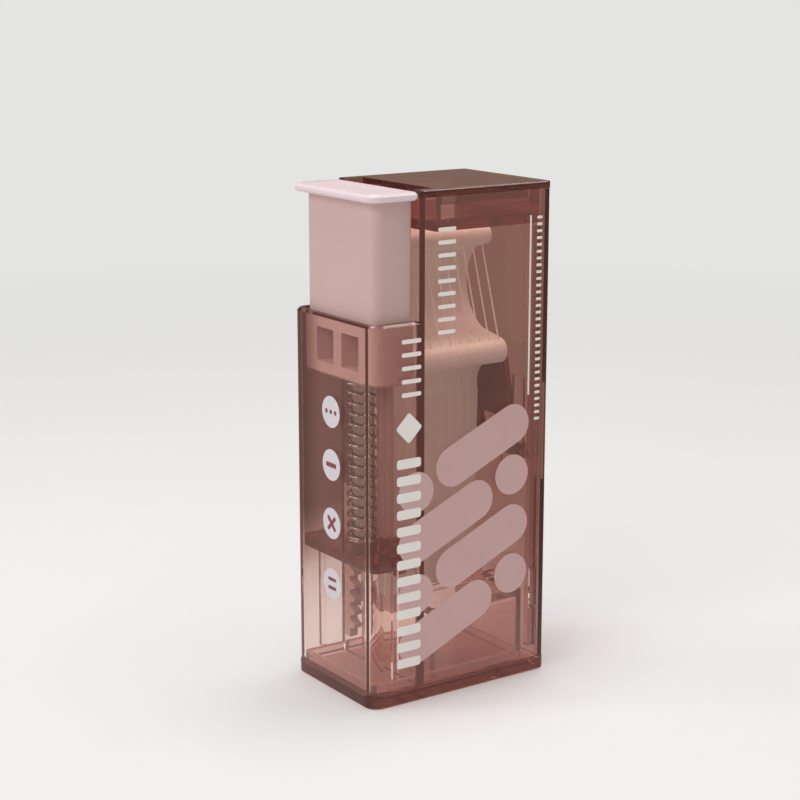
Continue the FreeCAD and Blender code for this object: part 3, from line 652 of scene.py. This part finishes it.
def coil_tree() -> Tree:
    """Builds the tree that winds a wire into an open coil with closed end turns.

    Returns:
        The tree, with its inputs for radius, wire, turns, height and place.
    """
    tree = Tree("Wound_coil", {
        "Radius": "NodeSocketFloat", "Wire": "NodeSocketFloat", "Turns": "NodeSocketFloat",
        "Height": "NodeSocketFloat", "Closed share": "NodeSocketFloat", "Place": "NodeSocketVector",
        "Turned": "NodeSocketVector", "Material": "NodeSocketMaterial"})
    given = tree.given.outputs
    spiral = tree.add("GeometryNodeCurveSpiral", {"Resolution": TURN_STEPS, "Height": 0.0},
                      {"Rotations": given["Turns"], "Start Radius": given["Radius"],
                       "End Radius": given["Radius"]})
    share = tree.add("GeometryNodeSplineParameter").outputs["Factor"]
    far = tree.add("ShaderNodeMath", {"operation": "SUBTRACT", 0: 1.0}, {1: given["Closed share"]})
    climb = tree.add("ShaderNodeMapRange", {}, {
        "Value": share, "From Min": given["Closed share"], "From Max": far.outputs[0]})
    slow = tree.add("ShaderNodeMix", {"data_type": "FLOAT", 0: EVEN_CLIMB},
                    {2: climb.outputs[0], 3: share})
    rise = tree.add("ShaderNodeMath", {"operation": "MULTIPLY"},
                    {0: slow.outputs[0], 1: given["Height"]})
    lift = tree.add("ShaderNodeCombineXYZ", {}, {"Z": rise.outputs[0]})
    wound = tree.add("GeometryNodeSetPosition", {},
                     {"Geometry": spiral.outputs[0], "Offset": lift.outputs[0]})
    half = tree.add("ShaderNodeMath", {"operation": "DIVIDE", 1: 2.0}, {0: given["Wire"]})
    section = tree.add("GeometryNodeCurvePrimitiveCircle", {"Resolution": WIRE_SIDES},
                       {"Radius": half.outputs[0]})
    wire = tree.add("GeometryNodeCurveToMesh", {"Fill Caps": True},
                    {"Curve": wound.outputs[0], "Profile Curve": section.outputs[0]})
    smooth = tree.add("GeometryNodeSetShadeSmooth", {}, {"Geometry": wire.outputs[0]})
    put = tree.add("GeometryNodeTransform", {},
                   {"Geometry": smooth.outputs[0], "Translation": given["Place"],
                    "Rotation": given["Turned"]})
    tree.close(put.outputs[0])
    return tree


def strand_tree() -> Tree:
    """Builds the tree that lays a twisted strand between two points.

    Returns:
        The tree, with its inputs for the ends, the thickness and the twist.
    """
    tree = Tree("Twisted_strand", {
        "Start": "NodeSocketVector", "End": "NodeSocketVector", "Radius": "NodeSocketFloat",
        "Twist": "NodeSocketFloat", "Steps": "NodeSocketInt", "Material": "NodeSocketMaterial"})
    given = tree.given.outputs
    line = tree.add("GeometryNodeCurvePrimitiveLine", {},
                    {"Start": given["Start"], "End": given["End"]})
    fine = tree.add("GeometryNodeResampleCurve", {},
                    {"Curve": line.outputs[0], "Count": given["Steps"]})
    share = tree.add("GeometryNodeSplineParameter").outputs["Factor"]
    angle = tree.add("ShaderNodeMath", {"operation": "MULTIPLY"}, {0: share, 1: given["Twist"]})
    turned = tree.add("GeometryNodeSetCurveTilt", {},
                      {"Curve": fine.outputs[0], "Tilt": angle.outputs[0]})
    waist = tree.add("ShaderNodeMath", {"operation": "MULTIPLY", 1: STRAND_WAIST},
                     {0: given["Radius"]})
    section = tree.add("GeometryNodeCurveStar", {"Points": 3},
                       {"Inner Radius": waist.outputs[0], "Outer Radius": given["Radius"]})
    strand = tree.add("GeometryNodeCurveToMesh", {"Fill Caps": True},
                      {"Curve": turned.outputs[0], "Profile Curve": section.outputs["Curve"]})
    smooth = tree.add("GeometryNodeSetShadeSmooth", {}, {"Geometry": strand.outputs[0]})
    tree.close(smooth.outputs[0])
    return tree


def print_tree() -> Tree:
    """Builds the tree that prints a row of round-cornered patches on a flat face.

    Returns:
        The tree, with its inputs for the patch, the row, the face's turn and the place.
    """
    tree = Tree("Printed_row", {
        "Width": "NodeSocketFloat", "Height": "NodeSocketFloat", "Corner": "NodeSocketFloat",
        "Lean": "NodeSocketVector", "Count": "NodeSocketInt", "Step": "NodeSocketVector",
        "Thickness": "NodeSocketVector", "Turned": "NodeSocketVector", "Place": "NodeSocketVector",
        "Material": "NodeSocketMaterial"})
    given = tree.given.outputs
    frame_line = tree.add("GeometryNodeCurvePrimitiveQuadrilateral", {},
                          {"Width": given["Width"], "Height": given["Height"]})
    rounded = tree.add("GeometryNodeFilletCurve",
                       {"mode": "POLY", "Count": CORNER_STEPS, "Limit Radius": True},
                       {"Curve": frame_line.outputs[0], "Radius": given["Corner"]})
    sheet = tree.add("GeometryNodeFillCurve", {"mode": "NGONS"}, {"Curve": rounded.outputs[0]})
    back = tree.add("GeometryNodeFlipFaces", {}, {"Mesh": sheet.outputs[0]})
    front = tree.add("GeometryNodeExtrudeMesh", {"mode": "FACES", "Offset Scale": 1.0},
                     {"Mesh": sheet.outputs[0], "Offset": given["Thickness"]})
    both = tree.add("GeometryNodeJoinGeometry")
    for part in (front.outputs["Mesh"], back.outputs["Mesh"]):
        tree.tree.links.new(part, both.inputs[0])
    patch = tree.add("GeometryNodeMergeByDistance", {"Distance": WELD},
                     {"Geometry": both.outputs[0]})
    row = tree.add("GeometryNodeMeshLine", {"mode": "OFFSET"},
                   {"Count": given["Count"], "Offset": given["Step"]})
    stamped = tree.add("GeometryNodeInstanceOnPoints", {},
                       {"Points": row.outputs[0], "Instance": patch.outputs[0],
                        "Rotation": given["Lean"]})
    put = tree.add("GeometryNodeTransform", {},
                   {"Geometry": stamped.outputs[0], "Translation": given["Place"],
                    "Rotation": given["Turned"]})
    tree.close(put.outputs[0])
    return tree


@dataclass
class Case:
    """The see-through housing: shell, foot, lid and the clear fittings inside it."""

    edge: Edge = Edge.ROUND
    fitting_edge: Edge = Edge.CRISP

    def build(self) -> None:
        """Builds and dresses every clear moulding of the case."""
        Moulding("case_shell", "case", "clear_case", self.edge, CASE_CLEAR).build()
        Moulding("base_cover", "case", "clear_case", self.edge, BASE_CLEAR).build()
        Moulding("top_lid", "case", "clear_case", self.edge, LID_CLEAR).build()
        for node, finish in (("pick_ceiling", CEILING_CLEAR), ("bay_shelf", SHELF_CLEAR),
                             ("pick_stand", STAND_CLEAR)):
            Moulding(node, "case", "clear_case", self.fitting_edge, finish).build()


@dataclass
class ReturnSpring:
    """The wound spring that lifts the button again.

    Attributes:
        centre: The coil's axis on the plan and its foot, in millimetres.
        radius: Mean radius.
        wire: Wire diameter.
        turns: Number of turns.
        height: Free height over the wire's outside.
        pressed: Height when the button is fully down; not used.
    """

    centre: Triple = (-14.5, -3.7, 28.4)
    radius: float = 2.15
    wire: float = 0.5
    turns: float = 17.5
    height: float = 28.6
    pressed: float = 8.6

    def build(self, coil: Tree) -> bpy.types.Object:
        """Winds the spring and sets it on the case.

        Args:
            coil: The tree that winds a coil.

        Returns:
            The finished spring.
        """
        rough = coil.run({
            "Radius": self.radius * MM, "Wire": self.wire * MM, "Turns": self.turns,
            "Height": (self.height - self.wire) * MM, "Closed share": 1.2 / self.turns,
            "Place": metres((self.centre[0], self.centre[1], self.centre[2] + self.wire / 2)),
            "Turned": Vector((0, 0, 0)), "Material": SPRING_STEEL.material()})
        piece = finish_piece(rough, "Return_spring_wound", "case", "steel", SPRING_STEEL,
                             "return_spring")
        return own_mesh(piece)


@dataclass
class Button:
    """The push button with its cap, guide rod and toothed bar."""

    def build(self) -> None:
        """Builds and dresses the button's four parts."""
        Moulding("button_body", "button", "button", Edge.SOFT, BUTTON_SKIN).build()
        Moulding("button_cap", "button", "button", Edge.ROUND, CAP_SKIN_PAINTED_SHEEN).build()
        Moulding("button_rack", "button", "button", Edge.CRISP, BUTTON_SKIN).build()
        Moulding("button_rod", "button", "steel", Edge.CRISP, PIN_STEEL).build()


@dataclass
class Lift:
    """The pinion on its axle and the lifter that raises the next pick."""

    def build(self) -> None:
        """Builds and dresses the three parts of the lift."""
        Moulding("pinion", "pinion", "gear", Edge.CRISP, GEAR_SKIN).build()
        Moulding("lifter", "lifter", "gear", Edge.CRISP, GEAR_SKIN).build()
        Moulding("pinion_axle", "case", "steel", Edge.CRISP, PIN_STEEL).build()


@dataclass
class PickRow:
    """The row of floss picks with a twisted strand stretched across each bow.

    Attributes:
        count: Picks in the row.
        left: Centre of the first pick.
        pitch: Distance from one pick to the next.
        widen: How much wider each is drawn, so that the row stands closed as it does when loaded.
        low_end: Where the strand leaves the lower arm, as Y and Z.
        high_end: Where it leaves the upper arm, as Y and Z.
        strand: Strand radius.
        lay: Length of one twist.
    """

    count: int = 9
    left: float = -6.2
    pitch: float = 2.09
    widen: float = 1.13
    low_end: Pair = (-8.5, 62.1)
    high_end: Pair = (-3.3, 78.7)
    strand: float = 0.15
    lay: float = 0.9

    def build(self, twisted: Tree) -> None:
        """Builds and dresses every pick and its strand.

        Args:
            twisted: The tree that lays a twisted strand.
        """
        length = math.dist(self.low_end, self.high_end)
        for index in range(self.count):
            body = "lifter" if index == 0 else "case"
            number = index + 1
            Moulding(f"pick_{number}", body, "pick", Edge.ROUND, PICK_SKIN, self.widen).build()
            across = self.left + self.pitch * index
            rough = twisted.run({
                "Start": metres((across, *self.low_end)), "End": metres((across, *self.high_end)),
                "Radius": self.strand * MM, "Twist": 2 * math.pi * length / self.lay,
                "Steps": int(9 * length / self.lay), "Material": FLOSS_FIBRE.material()})
            finish_piece(rough, f"Floss_strand_{number}", body, "floss", FLOSS_FIBRE,
                         f"floss_{number}")


@dataclass
class Door:
    """The refill door with the sprung flap that keeps the row together.

    Attributes:
        hinge: Centre of the flap's hinge, in millimetres; not used.
    """

    hinge: Triple = (16.1, 0.0, 41.0)

    def build(self) -> None:
        """Builds and dresses the door, the flap, its pad and its pin."""
        Moulding("refill_door", "door", "clear_case", Edge.ROUND, DOOR_CLEAR).build()
        Moulding("flap", "flap", "flap", Edge.CRISP, FLAP_SKIN).build()
        Moulding("flap_pad", "flap", "flap_pad", Edge.SOFT, PAD_SKIN).build()
        Moulding("flap_pin", "door", "steel", Edge.CRISP, PIN_STEEL).build()
        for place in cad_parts["flap_spring"].material_slots:
            place.material = SPRING_STEEL.material()


# Ink lies this far off the face and is this thick, in millimetres. A second print lies over both.
INK_GAP = 0.002
INK_THICK = 0.02
INK_LAYER = INK_GAP + INK_THICK


class Side(Enum):
    """A printed outer face, as its turn in degrees and its outward offset axis."""

    FRONT = ((90.0, 0.0, 0.0), (0.0, -1.0, 0.0))
    LEFT = ((90.0, 0.0, -90.0), (-1.0, 0.0, 0.0))


@dataclass
class PrintRow:
    """A row of printed patches.

    Attributes:
        name: The piece's name.
        side: The face that it is printed on.
        start: Centre of the first patch, in millimetres.
        step: Distance to the next patch along the face, as across and up.
        count: Number of patches.
        size: Patch width and height.
        corner: Corner radius.
        lean: Turn of each patch in degrees.
        ink: Its ink.
        layer: How many ink layers lie under it.
    """

    name: str
    side: Side
    start: Triple
    step: Pair
    count: int
    size: Pair
    corner: float
    lean: float
    ink: Finish
    layer: int = 0

    def build(self, tree: Tree) -> bpy.types.Object:
        """Prints the row.

        Args:
            tree: The tree that prints a row.

        Returns:
            The finished print, a thin closed mesh just proud of the face.
        """
        turn, outward = self.side.value
        proud = INK_GAP + INK_LAYER * self.layer
        place = Vector(self.start) + Vector(outward) * proud
        rough = tree.run({
            "Width": self.size[0] * MM, "Height": self.size[1] * MM, "Corner": self.corner * MM,
            "Lean": Vector((0, 0, math.radians(self.lean))), "Count": self.count,
            "Step": metres((*self.step, 0.0)), "Thickness": metres((0, 0, INK_THICK)),
            "Turned": Vector([math.radians(a) for a in turn]), "Place": place * MM,
            "Material": self.ink.material()})
        return finish_piece(rough, self.name, "case", "clear_case", self.ink)


@dataclass
class FacePrint:
    """The plain print on the front and the left face of the case.

    Attributes:
        front: Y of the front face.
        left: X of the left face.
        row_middle: X of the middle of the slanted rows.
        row_foot: Height of the lowest row's middle.
        row_step: Height from one row to the next.
        row_length: Length of a row.
        row_lean: Its slope in degrees.
        bar_length: Length of its bar.
        bar_width: Width of its bar and its dot.
        bold_middle: X of the bold strokes.
        light_middle: X of the light strokes.
        disc_middle: Y of the discs.
        disc_width: Their diameter.
        disc_heights: Their heights from the top down.
    """

    front: float = -12.65
    left: float = -18.85
    row_middle: float = 0.7
    row_foot: float = 15.2
    row_step: float = 9.2
    row_length: float = 30.0
    row_lean: float = 24.0
    bar_length: float = 21.4
    bar_width: float = 7.3
    bold_middle: float = -11.2
    light_middle: float = -3.4
    disc_middle: float = 0.0
    disc_width: float = 5.6
    disc_heights: tuple[float, ...] = (51.2, 41.7, 31.1, 20.0)

    def bars(self) -> list[PrintRow]:
        """Lists the slanted rows of a long bar and a dot, low on the front.

        Returns:
            A bar and a dot for each row, the dot at the right and the left by turns.
        """
        rows = []
        run, bar, lean = self.row_length, self.bar_length, self.row_lean
        slope = (math.cos(math.radians(lean)), math.sin(math.radians(lean)))
        for index in range(4):
            side = -1 if index % 2 else 1
            height = self.row_foot + self.row_step * index
            for label, offset, length in (("bar", (bar - run) / 2, bar),
                                          ("dot", (run - self.bar_width) / 2, self.bar_width)):
                along = offset * side
                place = (self.row_middle + along * slope[0], self.front, height + along * slope[1])
                rows.append(PrintRow(f"Print_{label}_{index + 1}", Side.FRONT, place, (0.0, 0.0), 1,
                                     (length, self.bar_width), self.bar_width / 2, lean, ROSE_INK))
        return rows

    def strokes(self) -> list[PrintRow]:
        """Lists the white strokes and the fine line on the front.

        Returns:
            A bold and two light runs of strokes, a lozenge, a line and its dashes.
        """
        bold, light = self.bold_middle, self.light_middle
        return [
            PrintRow("Print_strokes_bold", Side.FRONT, (bold, self.front, 7.6), (0.0, 3.0), 13,
                     (5.0, 1.7), 0.5, 0.0, WHITE_INK, 1),
            PrintRow("Print_lozenge", Side.FRONT, (bold, self.front, 49.8), (0.0, 0.0), 1,
                     (3.9, 3.9), 0.5, 45.0, WHITE_INK, 1),
            PrintRow("Print_strokes_mid", Side.FRONT, (bold + 0.5, self.front, 55.6), (0.0, 2.3), 5,
                     (4.0, 0.75), 0.3, 0.0, WHITE_INK, 1),
            PrintRow("Print_strokes_light", Side.FRONT, (light, self.front, 65.6), (0.0, 2.2), 9,
                     (3.7, 0.7), 0.3, 0.0, WHITE_INK, 1),
            PrintRow("Print_fine_line", Side.FRONT, (14.53, self.front, 68.3), (0.0, 0.0), 1,
                     (0.36, 32.0), 0.15, 0.0, WHITE_INK, 1),
            PrintRow("Print_dashes", Side.FRONT, (16.5, self.front, 47.8), (0.0, 1.2), 31,
                     (1.15, 0.5), 0.2, 0.0, WHITE_INK, 1),
        ]

    def discs(self) -> list[PrintRow]:
        """Lists the four pale discs on the left face and the plain mark on each.

        Returns:
            The discs first, then their marks.
        """
        disc = (self.disc_width, self.disc_width)
        rows = [PrintRow(f"Print_disc_{index + 1}", Side.LEFT, (self.left, self.disc_middle, up),
                         (0.0, 0.0), 1, disc, self.disc_width / 2, 0.0, DISC_INK)
                for index, up in enumerate(self.disc_heights)]
        dots, dash, cross, pair = self.disc_heights
        # Height, count, patch size, step to the next, corner radius and lean of each mark.
        marks = ((dots, 3, (0.8, 0.8), (1.4, 0.0), 0.4, 0.0),
                 (dash, 1, (3.2, 0.8), (0.0, 0.0), 0.3, 0.0),
                 (cross, 1, (3.4, 0.7), (0.0, 0.0), 0.3, 45.0),
                 (cross, 1, (3.4, 0.7), (0.0, 0.0), 0.3, -45.0),
                 (pair - 0.8, 2, (2.6, 0.6), (0.0, 1.6), 0.3, 0.0))
        for index, (up, count, size, step, corner, lean) in enumerate(marks):
            place = (self.left, self.disc_middle + step[0] * (count - 1) / 2, up)
            rows.append(PrintRow(f"Print_mark_{index + 1}", Side.LEFT, place, step, count, size,
                                 corner, lean, MARK_INK, 1 + index % 2))
        return rows

    def build(self, tree: Tree) -> None:
        """Prints every row.

        Args:
            tree: The tree that prints a row.
        """
        for row in self.bars() + self.strokes() + self.discs():
            row.build(tree)


@dataclass(frozen=True)
class Lamp:
    """One soft lamp that faces the part.

    Attributes:
        name: The lamp's name.
        place: Where it hangs, in metres.
        size: Its width and height, in metres.
        watts: Its power.
        colour: Its colour.
    """

    name: str
    place: Triple
    size: Pair
    watts: float
    colour: str = "FFFFFF"

    def hang(self, aim: Triple) -> None:
        """Hangs the lamp.

        Args:
            aim: The point that it faces, in metres.
        """
        lamp = bpy.data.lights.new(self.name, "AREA")
        lamp.shape = "RECTANGLE"
        lamp.size, lamp.size_y = self.size
        lamp.energy = self.watts
        lamp.color = linear(self.colour)[:3]
        holder = bpy.data.objects.new(self.name, lamp)
        bpy.context.scene.collection.objects.link(holder)
        holder.location = self.place
        towards = Vector(aim) - Vector(self.place)
        holder.rotation_euler = towards.to_track_quat("-Z", "Y").to_euler()


@dataclass
class Studio:
    """The pale floor, the soft lamps and the camera.

    Attributes:
        floor: Side of the square floor, in metres.
        floor_colour: Its colour.
        floor_shade: The colour of its slightly darker clouds.
        backdrop: Colour of the floor's outer part and of the far room where they are seen.
        fades: Distances over which the floor turns to the backdrop, in metres.
        mirrored_fades: The same where glossy faces mirror it.
        sky: Strength of the room's light.
        mirrored: Colour of the far room in glossy faces.
        floor_mirrored: Colour of the floor's outer part in glossy faces.
        aim: The point that the lamps face, in metres.
        lens_mm: Focal length of the camera.
        viewpoint: Where the camera stands, in metres.
        tilt: How far it looks down, in radians.
        pan: How far it is turned from the front, in radians.
    """

    floor: float = 12.0
    floor_colour: str = "EAEAEA"
    floor_shade: str = "E6E6E6"
    backdrop: str = "E4E4E3"
    fades: Pair = (0.12, 0.5)
    mirrored_fades: Pair = (0.03, 0.09)
    sky: float = 0.46
    mirrored: str = "957C70"
    floor_mirrored: str = "B5A59F"
    aim: Triple = (0.0, 0.0, 0.045)
    lens_mm: float = 82.885
    viewpoint: Triple = (-0.184747, -0.262181, 0.124498)
    tilt: float = 0.2257
    pan: float = -0.6027

    def seen_rays(self, tree: bpy.types.NodeTree) -> Any:
        """Tells the rays that show the backdrop, straight or through the part.

        Args:
            tree: The material's or the world's tree.

        Returns:
            A socket that is one for camera, glossy and transmission rays.
        """
        path = add_node(tree, "ShaderNodeLightPath")
        seen = path.outputs["Is Camera Ray"]
        for ray in ("Is Glossy Ray", "Is Transmission Ray"):
            seen = add_node(tree, "ShaderNodeMath", {"operation": "MAXIMUM"},
                            {0: seen, 1: path.outputs[ray]}).outputs[0]
        return seen

    def room_tone(self, tree: bpy.types.NodeTree, mirrored: str) -> Any:
        """Adds the far room's colour: pale where it is seen, darker where faces mirror it.

        Args:
            tree: The material's or the world's tree.
            mirrored: Its colour in glossy faces.

        Returns:
            The colour socket.
        """
        path = add_node(tree, "ShaderNodeLightPath")
        tone = add_node(tree, "ShaderNodeMix",
                        {"data_type": "RGBA", 6: linear(self.backdrop), 7: linear(mirrored)},
                        {0: path.outputs["Is Glossy Ray"]})
        return tone.outputs[2]

    def lay_floor(self) -> None:
        """Lays the pale floor under the part."""
        half = self.floor / 2
        mesh = bpy.data.meshes.new("Floor")
        corners = [(-half, -half, 0), (half, -half, 0), (half, half, 0), (-half, half, 0)]
        mesh.from_pydata(corners, [], [(0, 1, 2, 3)])
        floor = bpy.data.objects.new("Floor", mesh)
        bpy.context.scene.collection.objects.link(floor)
        floor.location.z = -0.01 * MM
        material = new_material("Floor_paper")
        tree = material.node_tree
        colour = add_node(tree, "ShaderNodeMix",
                          {"data_type": "RGBA", 6: linear(self.floor_shade),
                           7: linear(self.floor_colour)},
                          {0: grain(tree, 60.0, 2.0)})
        body = add_node(tree, "ShaderNodeBsdfPrincipled",
                        {"Roughness": 0.7, "Specular IOR Level": 0.2},
                        {"Base Color": colour.outputs[2]})
        place = add_node(tree, "ShaderNodeTexCoord")
        reach = add_node(tree, "ShaderNodeVectorMath", {"operation": "LENGTH"},
                         {0: place.outputs["Object"]})
        seen, mirrored = [add_node(tree, "ShaderNodeMapRange", {"From Min": near, "From Max": far},
                                   {"Value": reach.outputs["Value"]}).outputs["Result"]
                          for near, far in (self.fades, self.mirrored_fades)]
        glossy = add_node(tree, "ShaderNodeLightPath").outputs["Is Glossy Ray"]
        span = add_node(tree, "ShaderNodeMix", {"data_type": "FLOAT"},
                        {0: glossy, 2: seen, 3: mirrored})
        shown = add_node(tree, "ShaderNodeMath", {"operation": "MULTIPLY"},
                         {0: span.outputs[0], 1: self.seen_rays(tree)})
        pale = add_node(tree, "ShaderNodeEmission", {"Strength": 1.0},
                        {"Color": self.room_tone(tree, self.floor_mirrored)})
        mixed = add_node(tree, "ShaderNodeMixShader", {},
                         {0: shown.outputs[0], 1: body.outputs[0], 2: pale.outputs[0]})
        add_node(tree, "ShaderNodeOutputMaterial", {}, {"Surface": mixed.outputs[0]})
        mesh.materials.append(material)

    def light_room(self) -> None:
        """Sets the room's even light and its pale look behind the part."""
        world = bpy.data.worlds.new("Room")
        bpy.context.scene.world = world
        world.use_nodes = True
        tree = world.node_tree
        tree.nodes.clear()
        seen = self.seen_rays(tree)
        room = add_node(tree, "ShaderNodeBackground",
                        {"Color": linear("FFFFFF"), "Strength": self.sky})
        backdrop = add_node(tree, "ShaderNodeBackground", {},
                            {"Color": self.room_tone(tree, self.mirrored)})
        mixed = add_node(tree, "ShaderNodeMixShader", {},
                         {0: seen, 1: room.outputs[0], 2: backdrop.outputs[0]})
        add_node(tree, "ShaderNodeOutputWorld", {}, {"Surface": mixed.outputs[0]})

    def set_camera(self) -> None:
        """Sets the camera at the photograph's viewpoint."""
        lens = bpy.data.cameras.new("Camera")
        lens.lens = self.lens_mm
        lens.clip_start = 0.01
        camera = bpy.data.objects.new("Camera", lens)
        bpy.context.scene.collection.objects.link(camera)
        camera.location = self.viewpoint
        camera.rotation_euler = (math.pi / 2 - self.tilt, 0.0, self.pan)
        bpy.context.scene.camera = camera

    def build(self) -> None:
        """Builds the whole studio."""
        self.lay_floor()
        self.light_room()
        for lamp in (Lamp("Lamp_key", (-0.62, -0.22, 0.55), (0.55, 0.3), 1.7, "FFFCFA"),
                     Lamp("Lamp_top", (0.0, 0.05, 0.8), (0.5, 0.2), 2.8),
                     Lamp("Lamp_strip", (-0.5, 0.3, 0.25), (0.06, 0.5), 0.5),
                     Lamp("Lamp_edge", (0.38, -0.13, 0.6), (0.5, 0.08), 0.6, "FFF4F0")):
            lamp.hang(self.aim)
        self.set_camera()
        bpy.context.scene.view_settings.view_transform = "Standard"


def main() -> None:
    """Builds every sub-assembly, the print and the studio, in order."""
    logging.basicConfig(level=logging.INFO, format="%(message)s")
    coil, strand, printed = coil_tree(), strand_tree(), print_tree()
    Case().build()
    ReturnSpring().build(coil)
    Button().build()
    Lift().build()
    PickRow().build(strand)
    Door().build()
    FacePrint().build(printed)
    Studio().build()


if __name__ == "__main__":
    main()
